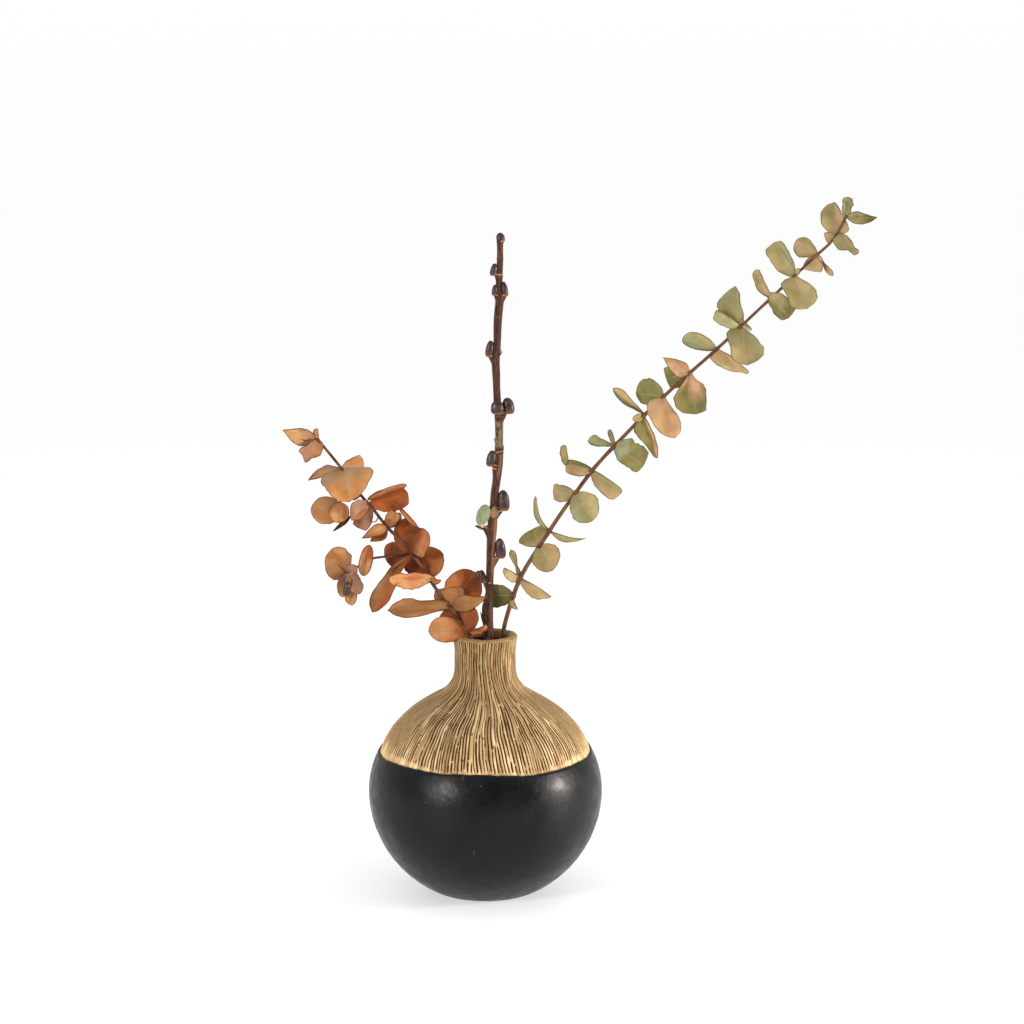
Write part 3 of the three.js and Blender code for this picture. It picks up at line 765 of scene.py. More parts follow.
RUST_UPPER_TWIG_LEAVES = [
    blade(303.2, "fawn-tan/tan", (-19.8, 5, -12.5), 10.8, 10.8, cup=1.5),
    blade(303.2, "peach-tan/pale", (1, -9, -14), 7.6, 7.6, cup=-3.5, lip=1),
    blade(303.2, "brown/rust", (-14, 2, -12), 1.8, 1.9, shape="pointed", shift=(9, 2, -11),
          fold=25),
]
RUST_LOWER_TWIG_LEAVES = [
    blade(260, "tan-rust/tan", (5, -1, 24), 5.4, 5, cup=2, shift=(-4.6, -1, -12)),
    blade(251, "fawn-tan/rust", (-12.4, 7, 17), 13.2, 9.6, shape="kidney", cup=2),
    blade(251, "mauve/tan", (9, -5, -15.5), 6.6, 6.4, ragged=2.4, cup=3),
    blade(251, "mauve/tan", (6, -2, 5.5), 4.6, 4.6, ragged=2, cup=1),
    blade(251, "mauve-tan/tan", (-4.6, -3, -18.5), 5, 5.6, ragged=2.4, cup=3),
    blade(251, "fawn-tan/mauve", (2.6, -1, -25.5), 5.2, 4.8, shape="spoon", cup=2),
]

# each leaf colour is a ground colour and the one that comes through it in patches
LEAF_COLOURS = {
    "rust": ((172, 100, 50), (154, 78, 30)),
    "dark": ((138, 68, 20), (102, 45, 8)),
    "ember": ((182, 98, 36), (150, 72, 18)),
    "fawn": ((156, 110, 68), (138, 92, 52)),
    "orange": ((200, 130, 66), (204, 144, 82)),
    "peach": ((198, 136, 90), (182, 110, 64)),
    "tan": ((188, 136, 86), (174, 116, 66)),
    "pale": ((216, 172, 122), (200, 148, 96)),
    "grey": ((170, 136, 106), (176, 136, 98)),
    "mauve": ((144, 106, 86), (166, 120, 92)),
    "brown": ((122, 68, 38), (144, 86, 50)),
    "sage": ((148, 145, 103), (156, 145, 95)),
    "khaki": ((168, 152, 102), (174, 152, 102)),
    "olive": ((106, 98, 50), (116, 102, 54)),
    "blue": ((140, 147, 118), (150, 145, 99)),
    "sand": ((186, 160, 114), (190, 158, 110)),
    "blush": ((198, 154, 116), (208, 160, 116)),
    "moss": ((118, 112, 62), (136, 123, 70)),
}
LEAF_ROWS, LEAF_COLUMNS = 38, 22
LEAF_THICKNESS = 0.4
MIDRIB_DEPTH, MIDRIB_WIDTH = 0.28, 0.6
RIPPLE, QUICK_RIPPLE, CRUMPLE = 0.04, 0.01, 0.075      # shares of the leaf's length
QUICK_CRUMPLE = 0.4
OUTLINE_STEPS, OUTLINE_SMEAR = 201, 25      # fine steps along an outline; how many are averaged
TIP_ROUNDING = 0.05                         # the last share of the length


def colour_of(name, patches, along, across):
    """the colour of one face: one colour, or one running into another along or across the leaf"""
    first, second = (name.replace("|", "-").split("-") * 2)[:2]
    run = across * 1.3 if "|" in name else (along - 0.45) * 2.1
    second_share = soft(0.5 + run + 0.7 * (patches - 0.5))[:, None]
    faces = []
    for each in (first, second):
        ground, patch = (np.array(rgb(*shade)[:3]) for shade in LEAF_COLOURS[each])
        faces.append(ranged(ground, patch, patches[:, None]))
    return ranged(*faces, second_share)


def edge_shares(shape, belly, along, across):
    """how wide the leaf is at each point's row, as a share of its half width"""
    if shape is None:
        drift = along ** (math.log(0.5) / math.log(belly))
        return 2 * np.sqrt(share(drift * (1 - drift)))
    lines = LEAF_OUTLINES[shape]
    lines = (lines, lines) if isinstance(lines, list) else lines
    fine = np.linspace(0, 1, OUTLINE_STEPS)
    smear = np.hanning(OUTLINE_SMEAR)[1:-1] / np.hanning(OUTLINE_SMEAR).sum()
    edges = []
    for line in lines:
        padded = np.pad(np.interp(fine, *zip(*line)), OUTLINE_SMEAR // 2 - 1, "edge")
        edges.append(np.interp(along, fine, np.convolve(padded, smear, "valid")))
    return np.where(across < 0, *edges) * np.sqrt(share((1 - along) / TIP_ROUNDING))


def clouds(first, second, third):
    """smooth noise, read for each pair of numbers"""
    return np.array([noise.noise(Vector((a, b, third))) for a, b in zip(first, second)])


def leaf(name, start, row, seed, material, node_name):
    _, colours, reach, left, right, habit = row
    length = np.linalg.norm(reach)
    along = reach / length
    facing = np.array([0, -1.0, 0]) + along * along[1]
    facing /= np.linalg.norm(facing)

    # an even grid, drawn in towards the rim so that the edge is smooth; t runs from the base to
    # the tip, and s from the left edge to the right one
    t, s = np.meshgrid(np.linspace(0, 1, LEAF_ROWS + 1), np.linspace(-1, 1, LEAF_COLUMNS + 1),
                       indexing="ij")
    t = (0.5 * t + 0.5 * (1 - np.cos(np.pi * t)) / 2).ravel()
    s = (np.sin(s * np.pi / 2) * 0.5 + s * 0.5).ravel()
    swell = 4 * t * (1 - t)
    rim = edge_shares(habit["shape"], habit["belly"], t, s)
    bites = smooth_chance(t * 5 + 9 * chance(seed, 1), np.sign(s) + seed) - 0.5
    nicks = smooth_chance(t * 19 + 9 * chance(seed, 2), np.sign(s) + seed + 5) - 0.5
    rim *= 1 + habit["ragged"] * (0.1 * bites + 0.05 * nicks) * swell
    stalk = ranged(0.95, 0.5, share(t * length / 3)) * (1 - np.clip(t * 12 - 11, 0, 0.7))
    half = np.maximum(rim * np.where(s < 0, left, right), stalk)

    # the dried curl: cupped or folded across, rippled along its edges, a little crumpled all over
    fold = math.radians(habit["fold"])
    ripple = RIPPLE * np.sin(6 * t + 6 * chance(seed, np.sign(s)))
    ripple += QUICK_RIPPLE * habit["ragged"] * np.sin(21 * t + 9 * chance(seed, 3))
    crumple = CRUMPLE * length * clouds(t * 1.7, s * 0.9, seed + 3.3)
    crumple += QUICK_CRUMPLE * clouds(t * length / 8, s * 1.7, seed)
    midrib = MIDRIB_DEPTH * hump(s * half, MIDRIB_WIDTH)
    lift = (habit["cup"] * swell + ripple * length * np.sqrt(swell)) * s * s
    lift += (habit["lip"] * soft((np.abs(s) - 0.7) / 0.3) - midrib + crumple) * np.sqrt(swell)
    lift += (np.sqrt(s * s + 0.01) - 0.1) * half * math.sin(fold)
    turn = np.radians(habit["roll"] + habit["twist"] * t)[:, None]
    normal = facing * np.cos(turn) + np.cross(along, facing) * np.sin(turn)
    side = np.cross(along, normal)
    rib = start + habit["shift"] + reach * t[:, None] + side * (habit["bow"] * swell)[:, None]
    rib += normal * (habit["arch"] * swell + habit["hook"] * t ** 4)[:, None]
    points = rib + side * (s * half * math.cos(fold))[:, None] + normal * lift[:, None]

    piece = new_grid(name, LEAF_COLUMNS, LEAF_ROWS)
    place_points(piece, points)
    wall = piece.modifiers.new("thickness", "SOLIDIFY")
    wall.thickness = LEAF_THICKNESS * MM
    wall.offset = 0
    bpy.ops.object.modifier_apply(modifier=wall.name)

    # front and back colours, kept on the points, and how far each point is from rib, stalk and rim
    off_middle = points_of(piece) - np.tile(points, (2, 1))
    front = (off_middle * np.tile(normal, (2, 1))).sum(axis=1) > 0
    patch = soft(np.tile(clouds(t * 1.9, s * 1.1, seed + 20.5), 2) * 1.6 + 0.5)
    t, s, half = np.tile(t, 2), np.tile(s, 2), np.tile(half, 2)
    front_colour, back_colour = (colour_of(face, patch, t, s) for face in colours.split("/"))
    tint = np.where(front[:, None], front_colour, back_colour)
    # a random tone for each leaf, and painted shade that darkens it near its base, where it meets
    # the stem
    tint *= ranged(0.84, 1.12, chance(seed, 8)) * (1 - 0.3 * np.exp(-t * length / 3.5))[:, None]
    to_rim = np.minimum((1 - np.abs(s)) * half, (1 - t) * length)
    point_values(piece, tint=tint, lamina=np.stack([s * half, t * length, to_rim], axis=1))
    bpy.ops.object.shade_smooth()
    dress(piece, material, node_name)


def dress(piece, material, node_name):
    piece.data.materials.append(material)
    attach(piece, "root")
    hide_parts(node_name)


def leaves(name, knots, rows, seed, material, node_name):
    """the leaves of one stem or twig, each from the middle of its wood"""
    line = smooth_path(knots)
    rising = line if line[-1, 2] > line[0, 2] else line[::-1]
    for k, row in enumerate(rows):
        start = np.array([np.interp(row[0], rising[:, 2], column) for column in rising.T])
        leaf(f"{name}_{k + 1:02d}", start, row, seed + 10 * k, material, node_name)


def new_group(name, inputs, outputs):
    """a node group to work in, for several materials; gives what comes in and what goes out"""
    group = bpy.data.node_groups.new(name, "ShaderNodeTree")
    for way, sockets in (("INPUT", inputs), ("OUTPUT", outputs)):
        for socket, kind in sockets.items():
            group.interface.new_socket(socket, in_out=way, socket_type="NodeSocket" + kind)
    work_in(group)
    given, result = (group.nodes.new("NodeGroup" + way) for way in ("Input", "Output"))
    return group, given.outputs, result.inputs


def place_group(group, **values):
    placed = tree.nodes.new("ShaderNodeGroup")
    placed.node_tree = group
    wire_all(placed.inputs, {name.replace("_", " "): value for name, value in values.items()})
    return placed.outputs


# the skin of a dried leaf: soft clouds, a fine grain, faint side veins that leave the midrib at a
# slant, and a thin darker rim. How far a point is from rib, base and rim comes in millimetres.
leaf_skin, given, result = new_group(
    "leaf skin", {"Rim": "Color", "Veins": "Color", "Flecks": "Color", "Fleck Share": "Float"},
    {"Color": "Color", "Roughness": "Float", "Height": "Float"})
VEIN_SLANT, VEIN_BEAT = 0.75, 2.4
across, along, to_rim = new_node("SeparateXYZ", {0: kept("lamina", "Vector")})
tint = kept("tint", "Color")
where = in_object()
fine = speckle(where, 900, 4, 0.6)
cloud = speckle(where, 120, 4, 0.5)
aside = maths("ABSOLUTE", across)
colour = mix(between(cloud, 0.35, 0.68, 0, 0.6), tint, tinted(tint, (0.7, 0.64, 0.55, 1)))
flecks = times(between(fine, 0.5, 0.72), given["Fleck Share"])
colour = mix(flecks, colour, given["Flecks"])
slant = maths("SUBTRACT", along, times(aside, VEIN_SLANT))
wobble = times(maths("SUBTRACT", cloud, 0.5), 2.0)
beat = maths("SINE", times(plus(slant, wobble), VEIN_BEAT))
veins = times(between(beat, 0.86, 1.0), between(to_rim, 1.0, 3.5))
midrib = times(between(aside, 0.12, 0.42, 1, 0), between(to_rim, 1.5, 6, 0.2, 1))
colour = mix(maths("MAXIMUM", times(veins, 0.2), times(midrib, 0.5)), colour, given["Veins"])
wire_all(result, {
    "Color": mix(between(to_rim, 0.2, 0.9, 0.85, 0), colour, given["Rim"]),
    "Roughness": between(cloud, 0.3, 0.7, 0.44, 0.62),
    "Height": plus(plus(times(fine, 0.35), cloud), times(veins, -0.35)),
})

# bark: dark and light fibres along the twig, with larger blots
bark_grain, given, result = new_group(
    "bark grain", {"Dark": "Color", "Light": "Color", "Blots": "Color"},
    {"Color": "Color", "Height": "Float"})
bark_place = kept("bark", "Vector")
fibre = speckle(bark_place, 1.7, 5, 0.65, (1, 1, 0.07))
blot = speckle(bark_place, 0.3, 4, 0.6, (1, 1, 0.5))
colour = mix(between(fibre, 0.4, 0.61), given["Dark"], given["Light"])
colour = mix(between(blot, 0.45, 0.68, 0, 0.6), colour, given["Blots"])
wire_all(result, {"Color": colour, "Height": fibre})


def leaf_material(name, **colours):
    material, shader = new_material(name)
    skin = place_group(leaf_skin, **colours)
    wire_all(shader, {"Base Color": skin["Color"], "Roughness": skin["Roughness"],
                      "Specular IOR Level": 0.22, "Normal": relief(skin["Height"], 0.0003)})
    return material


def bark_material(name, **colours):
    material, shader = new_material(name)
    bark = place_group(bark_grain, **colours)
    wire_all(shader, {"Base Color": bark["Color"], "Roughness": 0.5, "Specular IOR Level": 0.2,
                      "Normal": relief(bark["Height"], 0.0003)})
    return material


def tube(name, line, sizes):
    """an open skin round a line; sizes has a row for each point of it and a column for each side.
    The first side faces right where the line rises, and the next ones go round by the back."""
    rings, sides = len(line) - 1, sizes.shape[1] - 1
    ahead = np.gradient(line, axis=0)
    ahead /= np.linalg.norm(ahead, axis=1)[:, None]
    right = np.cross([0.0, 1.0, 0.0], ahead)
    right /= np.linalg.norm(right, axis=1)[:, None]
    back = np.cross(ahead, right)
    angle = np.linspace(0, 2 * np.pi, sides + 1)
    points = (line[:, None, :] + right[:, None, :] * (sizes * np.cos(angle))[:, :, None]
              + back[:, None, :] * (sizes * np.sin(angle))[:, :, None])
    piece = new_grid(name, sides, rings)
    place_points(piece, points.reshape(-1, 3))
    mean = sizes.mean(axis=1)[:, None] + 0 * sizes
    run = distance_along(line)[:, None] + 0 * sizes
    bark = np.stack([mean * np.cos(angle), mean * np.sin(angle), run], axis=2)
    point_values(piece, bark=bark.reshape(-1, 3))
    return piece


def close_ends(piece):
    merge_seams(piece)
    edit(piece, "EDGE")
    bpy.ops.mesh.select_non_manifold(extend=False)
    bpy.ops.mesh.fill_holes(sides=0)
    back_to_object()
    face_outwards(piece)


def leafy_stem(name, knots, rows, thick, thin, sides, rings, material, node_name):
    """a spray's own stem or twig, a little thicker at and just below each pair of leaves"""
    line = evenly(smooth_path(knots), rings + 1)
    angle = np.linspace(0, 2 * np.pi, sides + 1)[None, :]
    height = line[:, 2:3]
    far_below = -99          # so that a twig without leaves has a node too
    from_node = height - np.array([*[row[0] for row in rows], far_below])[None, :]
    at_node = hump(from_node, 1.2).max(axis=1)[:, None]
    under = hump(from_node + 2.6, 3.2).max(axis=1)[:, None]
    ridge = 0.05 * np.sin(3 * angle + height / 6) + 0.04 * np.sin(7 * angle + height / 11)
    radius = ranged(thick, thin, np.linspace(0, 1, rings + 1)[:, None])
    piece = tube(name, line, radius * (1 + 0.28 * at_node + 0.1 * under + ridge))
    close_ends(piece)
    dress(piece, material, node_name)


rust_leaf = leaf_material(
    "dried rust leaf", Rim=rgb(86, 42, 18), Veins=rgb(150, 92, 58), Flecks=rgb(150, 92, 54),
    Fleck_Share=0.2)
rust_bark = bark_material(
    "rust twig bark", Dark=rgb(52, 26, 16), Light=rgb(92, 54, 34), Blots=rgb(132, 82, 54))
for name, knots, rows, thick, thin, sides, rings in (
    ("rust_stem", RUST_STEM, RUST_LEAVES, 1.7, 1.0, 16, 300),
    ("rust_upper_twig", RUST_UPPER_TWIG, [], 0.75, 0.6, 10, 24),
    ("rust_lower_twig", RUST_LOWER_TWIG, [], 1.0, 0.75, 10, 50),
):
    leafy_stem(name, knots, rows, thick, thin, sides, rings, rust_bark, "rust_eucalyptus")
for name, knots, rows, seed in (
    ("rust_leaf", RUST_STEM, RUST_LEAVES, 100),
    ("rust_upper_leaf", RUST_UPPER_TWIG, RUST_UPPER_TWIG_LEAVES, 500),
    ("rust_lower_leaf", RUST_LOWER_TWIG, RUST_LOWER_TWIG_LEAVES, 600),
):
    leaves(name, knots, rows, seed, rust_leaf, "rust_eucalyptus")

# stalks that lost their leaves: three forked ones at the tip, one that hooks down from the fifth
# pair, and two at the end of the lower twig
BARE_STALKS = [
    [(-131, -5, 352), (-134.5, -7, 350.6), (-138.5, -7, 351.6)],
    [(-134.5, -7, 350.6), (-137, -7.5, 348)],
    [(-131.5, -6.5, 350.6), (-134.5, -8, 347.2)],
    [(-81, -4, 291), (-83, -7, 288.4), (-87, -8, 289)],
    [(-105, -15, 250), (-108, -16.5, 254), (-110.5, -17, 257)],
    [(-105, -15, 250), (-109, -16, 246), (-112, -15, 242)],
]
for k, knots in enumerate(BARE_STALKS):
    leafy_stem(f"rust_stalk_{k + 1}", knots, [], 0.5, 0.32, 8, 14, rust_bark, "rust_eucalyptus")

# ---- the budded branch in the middle --------------------------------------------------------
# A bare upright branch cut from a shrub in winter: ridged brown bark with ring scars where each
# year's growth began, and closed buds that sit on small leaf scars on either side.

# the middle of the branch and its radius
BRANCH = [
    (8, -3, 8.6, 3.9), (6, -2, 110, 4), (4, -1.2, 170, 4), (2.9, -1, 198.3, 3.83),
    (2, -1, 210.8, 4.05), (1.7, -1, 219.4, 4.12), (2.2, -1, 224.8, 3.66),
    (3.1, -0.8, 231.1, 3.05), (3.4, -0.4, 239.6, 2.82), (3.7, -0.2, 249.7, 2.9),
    (4.2, 0, 259.8, 3.1), (4.5, -0.2, 269.1, 3.2), (4.9, -0.6, 276.1, 3.5), (5.5, -1, 282.3, 3.7),
    (5.9, -1.2, 288.4, 3.5), (6.5, -1.6, 294.6, 3.2), (7, -2, 301.6, 3.07),
    (7.5, -1.6, 310, 3.15), (8.6, -1, 317.7, 3.11), (9.4, -0.6, 326.2, 3.5),
    (10.1, -0.2, 331.5, 3.4), (10.4, 0, 338.4, 3.4), (10.6, 0.4, 346.1, 3.1),
    (10.7, 1, 357.5, 3.1), (10.6, 1, 368.2, 3.2), (9.6, 1, 377.3, 2.9), (9.1, 1, 386.5, 2.75),
    (8.7, 0, 399.4, 2.85), (8.3, 0, 413, 3), (9.1, 0, 418.3, 2.8), (9.4, 0, 425.8, 2.8),
    (9.5, 0, 433.4, 2.9), (10, 0.3, 443.9, 3), (11, 0.9, 453.7, 3.1), (11.2, 1.1, 458.2, 3.1),
    (10.9, 1.6, 463.5, 2.5), (10.9, 2, 472.4, 2.4), (11.5, 2, 484.4, 2.3), (11.6, 2, 493.4, 2.3),
    (11.5, 2, 500.6, 2.6),
]
# where a leaf fell or a bud sits: height of the little shelf, its direction in degrees round the
# branch, how far it stands out, how far down it tapers, and how wide it is
SHELVES = [
    (499.8, 350, 1.2, 3, 1.3), (474.8, 205, 1.5, 6, 1.2), (474.6, 300, 0.9, 5, 0.9),
    (459.6, 195, 1.4, 6, 1.0), (459, 350, 2.2, 6, 0.8), (417.4, 345, 1.5, 5, 0.7),
    (413.6, 185, 2.6, 7, 0.8), (376.4, 180, 1.5, 5, 0.6), (371, 275, 1.3, 5, 0.9),
    (370.2, 352, 3.2, 8, 0.8), (350, 182, 1.0, 4, 0.35), (345, 0, 0.7, 9, 0.6),
    (330.6, 205, 1.7, 7, 1.0), (327.6, 200, 0.9, 5, 1.1), (296.6, 352, 4, 8, 0.65),
    (283, 190, 4, 10, 0.6), (259.6, 352, 3.4, 10, 0.65), (240.6, 185, 2.6, 8, 0.7),
    (240, 275, 0.5, 3, 0.4), (212, 182, 0.9, 5, 0.4),
]
YEAR_RINGS = [(341, 1.0), (367.5, 0.6), (263, 0.62), (226, 0.62), (443, 0.66), (487, 0.66)]
# a cut-off twig's healed scar: height, direction, reach up, reach round
PRUNED = (295.4, 275, 4.4, 0.8)
OLIVE_BARK = (343, 366)
# paler strips down the side toward the right lamp, slightly raised, with painted light: lowest,
# highest, direction, half width
LIT_STRIPS = [(238, 291.5, 314, 0.42), (318, 340, 292, 0.3)]
SIDES = 40
IN_VASE = 194               # below this height the branch is hidden, and has fewer rings
HIDDEN_RINGS, RINGS = 60, 780

branch_line = smooth_path(BRANCH)
hidden = branch_line[:, 2] < IN_VASE
branch_line = np.vstack([
    evenly(branch_line[hidden], HIDDEN_RINGS), evenly(branch_line[~hidden], RINGS)])
angle = np.linspace(0, 2 * np.pi, SIDES + 1)[None, :]
height = branch_line[:, 2:3]
ridges = 0.04 * np.sin(5 * angle + height / 17) + 0.03 * np.sin(9 * angle - height / 9)
ridges += 0.025 * (smooth_chance(height / 2.1, 3) - 0.5) + 0.03 * np.sin(2 * angle + height / 31)
sizes = branch_line[:, 3:4] * (1 + ridges)
scar, raised, strip = (np.zeros_like(sizes) for _ in range(3))
for shelf, direction, out, taper, wide in SHELVES:
    window = hump(turn_from(angle, math.radians(direction)), wide)
    rise = height - shelf - 0.6 * window
    step = np.where(rise < 0, soft(1 + rise / taper), soft(1 - rise / 0.9))
    raised = np.maximum(raised, out * step * window)
    scar = np.maximum(scar, hump(rise + 0.1, 0.75) * soft(window * 1.6))
for ring, strength in YEAR_RINGS:
    from_ring = height - ring - 0.7 * np.sin(angle + ring)
    raised = np.maximum(raised, 0.4 * strength * hump(from_ring, 0.55))
    scar = np.maximum(scar, strength * hump(from_ring, 0.6))
middle, direction, tall, wide = PRUNED
turned = turn_from(angle, math.radians(direction))
far = np.sqrt(((height - middle) / tall) ** 2 + (turned / wide) ** 2)
raised = raised + 0.5 * hump(far - 1, 0.18) - 0.2 * (far < 0.85)
for low, high, direction, wide in LIT_STRIPS:
    turned = turn_from(angle + 0.12 * np.sin(height / 5), math.radians(direction))
    ends = soft((height - low) / 7) * soft((high - height) / 1.2)
    strip = np.maximum(strip, soft((1.25 - np.abs(turned) / wide) * 3) * ends)
olive = soft((height - OLIVE_BARK[0]) / 3) * soft((OLIVE_BARK[1] - height) / 4) + 0 * sizes
branch = tube("branch", branch_line[:, :3], sizes + raised + 0.12 * strip)
point_values(branch, strip=strip.ravel(), scar=scar.ravel(), olive=olive.ravel(),
             pruned=share((1.05 - far) * 6).ravel())
close_ends(branch)

branch_bark, shader = new_material("branch bark")
bark = place_group(bark_grain, Dark=rgb(34, 18, 12), Light=rgb(98, 62, 42), Blots=rgb(66, 38, 27))
bark_place = kept("bark", "Vector")
lichen = between(speckle(bark_place, 0.5, 4, 0.6, (1, 1, 0.4)), 0.4, 0.62)
greened = mix(lichen, rgb(134, 116, 82), rgb(66, 50, 32))
colour = mix(times(kept("olive"), 0.9), bark["Color"], greened)
pale_strip = speckle(bark_place, 0.55, 3, 0.5, (1, 1, 0.02))
colour = mix(between(pale_strip, 0.56, 0.68, 0, 0.5), colour, rgb(140, 98, 66))
pores = speckle(bark_place, 3.2, 2, 0.5, (1, 1, 0.8))
colour = mix(between(pores, 0.7, 0.75, 0, 0.7), colour, rgb(150, 106, 66))
# painted light: the paler strips down the side toward the right lamp
lit_wood = mix(between(pale_strip, 0.4, 0.6), rgb(134, 92, 64), rgb(156, 114, 80))
colour = mix(times(kept("strip"), 0.7), colour, lit_wood)
rusty = between(speckle(bark_place, 2.5, 3), 0.35, 0.65)
rusty = mix(rusty, rgb(164, 104, 58), rgb(196, 146, 96))
colour = mix(between(kept("scar"), 0.45, 0.85), colour, rusty)
healed = between(speckle(bark_place, 1.1, 3), 0.4, 0.65)
healed = mix(healed, rgb(166, 126, 94), rgb(126, 90, 66))
wire_all(shader, {
    "Base Color": mix(kept("pruned"), colour, healed), "Roughness": 0.5,
    "Specular IOR Level": 0.16, "Normal": relief(plus(bark["Height"], times(pores, 0.5)), 0.0007),
})
dress(branch, branch_bark, "budded_branch")

# middle x and y, height of the foot, length, width, thickness, and how far the tip leans to +X
BUDS = [
    (11.9, 2, 499.6, 6.6, 6, 5.6, -0.4), (6.9, 1, 474, 9.4, 5, 4.6, 1.2),
    (7.5, 0.6, 459.2, 8.4, 4, 4, 0.6), (15, 0.6, 458.6, 11.2, 4.5, 4.4, -1.4),
    (3.8, -0.6, 413.2, 12.4, 5.8, 5, 1.2), (9.4, -4.2, 370.2, 10.8, 9, 6, 0),
    (17.6, 0.4, 369.8, 12.4, 8.6, 6.6, -1), (5, -2, 330, 12.4, 7, 5.6, 1.2),
    (14, -2, 296, 16, 8.6, 6.6, -0.6), (11.6, -0.6, 259, 15.6, 7.6, 6.2, -1),
    (-2.1, -0.6, 240, 10, 5.6, 5, -1.6), (-4.7, -1.2, 241.6, 8, 4.6, 4.4, -1.4),
    (6.1, -0.4, 373.4, 4.4, 2.8, 2.6, -0.4), (14.3, 1.2, 499.6, 2.4, 1.8, 2.2, 0.3),
]
# how wide a bud is from its foot to its tip
BUD_OUTLINE = [
    (0, 0.6), (0.05, 0.8), (0.16, 0.96), (0.32, 1.04), (0.52, 1.04), (0.7, 0.94), (0.84, 0.76),
    (0.93, 0.54), (0.98, 0.3), (1, 0),
]


def bud(name, row, outline, material, scales=1.0, turn=0.0):
    """a closed bud of two overlapping scales, standing on its foot"""
    x, y, foot, length, width, thick, lean = row
    deselect()
    bpy.ops.mesh.primitive_uv_sphere_add(segments=36, ring_count=30, radius=1)
    piece = named_piece(name)
    ball = points_of(piece) * MM
    up = share((ball[:, 2] + 1) / 2)
    around = np.arctan2(ball[:, 1], ball[:, 0])
    out = np.interp(up, *zip(*outline)) * np.where((up < 0.001) | (up > 0.999), 0, 1)
    edge = 0.66 + 0.2 * np.sin(around + turn)
    under = 0.4 - 0.16 * np.sin(around + turn + 0.5)
    out *= 1 + scales * (0.03 * soft((edge - up) / 0.05) + 0.025 * soft((under - up) / 0.05))
    seam = turn_from(around + turn, np.pi - 3.8)
    out *= 1 - scales * 0.04 * hump(seam, 0.16) * share((up - 0.25) * 4)
    place_points(piece, np.stack([
        x + (soft(up) - 0.5) * lean + out * width / 2 * np.cos(around),
        y + out * thick / 2 * np.sin(around), foot + up * length], axis=1))
    scale_edge = scales * np.maximum(hump(up - edge, 0.035), hump(up - under, 0.035))
    point_values(piece, scale_edge=scale_edge, upward=up)
    bpy.ops.object.shade_smooth()
    dress(piece, material, "budded_branch")


bud_skin, shader = new_material("bud scale")
where = in_object()
glossy = between(speckle(where, 260, 4), 0.35, 0.7)
glossy = mix(glossy, rgb(38, 21, 17), rgb(68, 41, 33))
colour = mix(between(kept("upward"), 0.0, 0.22, 0.8, 0), glossy, rgb(150, 92, 52))
colour = mix(times(kept("scale_edge"), 0.28), colour, rgb(120, 86, 70))
wire_all(shader, {
    "Base Color": colour, "Roughness": between(speckle(where, 500, 3), 0.3, 0.7, 0.34, 0.5),
    "Specular IOR Level": 0.4, "Coat Weight": 0.08,
    "Normal": relief(speckle(where, 700, 4, 0.6, (1, 1, 0.3)), 0.0002),
})
for k, row in enumerate(BUDS):
    bud(f"bud_{k + 1:02d}", row, BUD_OUTLINE, bud_skin, 1.0, 2.4 * k)

felt, shader = new_material("green bud felt")
where = in_object()
upward = kept("upward")
down = speckle(where, 700, 4, 0.7)
colour = between(speckle(where, 200, 3), 0.3, 0.7)
colour = mix(colour, rgb(112, 124, 84), rgb(134, 142, 104))
colour = mix(between(down, 0.45, 0.7, 0, 0.5), colour, rgb(158, 166, 130))
wire_all(shader, {
    "Base Color": mix(between(upward, 0.1, 0.3, 1, 0), colour, rgb(198, 182, 156)),
    "Roughness": 0.85, "Sheen Weight": 0.3, "Normal": relief(down, 0.0004),
})
GREEN_BUD_OUTLINE = [
    (0, 0.2), (0.08, 0.34), (0.2, 0.5), (0.34, 0.82), (0.52, 1), (0.74, 0.96), (0.9, 0.66),
    (0.97, 0.36), (1, 0),
]
SCALE_OUTLINE = [(0, 0.3), (0.3, 0.62), (0.6, 0.9), (0.85, 1), (0.96, 0.75), (1, 0)]
THORN_OUTLINE = [(0, 1), (0.3, 0.8), (0.6, 0.5), (0.9, 0.15), (1, 0)]
bud("green_bud", (-1.6, -3.4, 281.6, 19.6, 10.8, 8.2, 3.4), GREEN_BUD_OUTLINE, felt, 0)
bud("green_bud_scale", (-3.6, -3, 281.4, 3.6, 6.4, 5, -2.4), SCALE_OUTLINE, bud_skin, 0.3)
bud("thorn", (-3, -1.6, 212.4, 6, 1.8, 1.6, -1.4), THORN_OUTLINE, bud_skin, 0)
bud("dried_flower_bud", (-104.2, -19.5, 233, 11.5, 5, 4.6, 1), BUD_OUTLINE, bud_skin, 0.9)

# ---- the green spray on the right -----------------------------------------------------------
# A longer stem of the same eucalyptus, dried undyed: sage and khaki leaves in crossed pairs up
# to the tip, with tan or pinkish faces where they bleached.

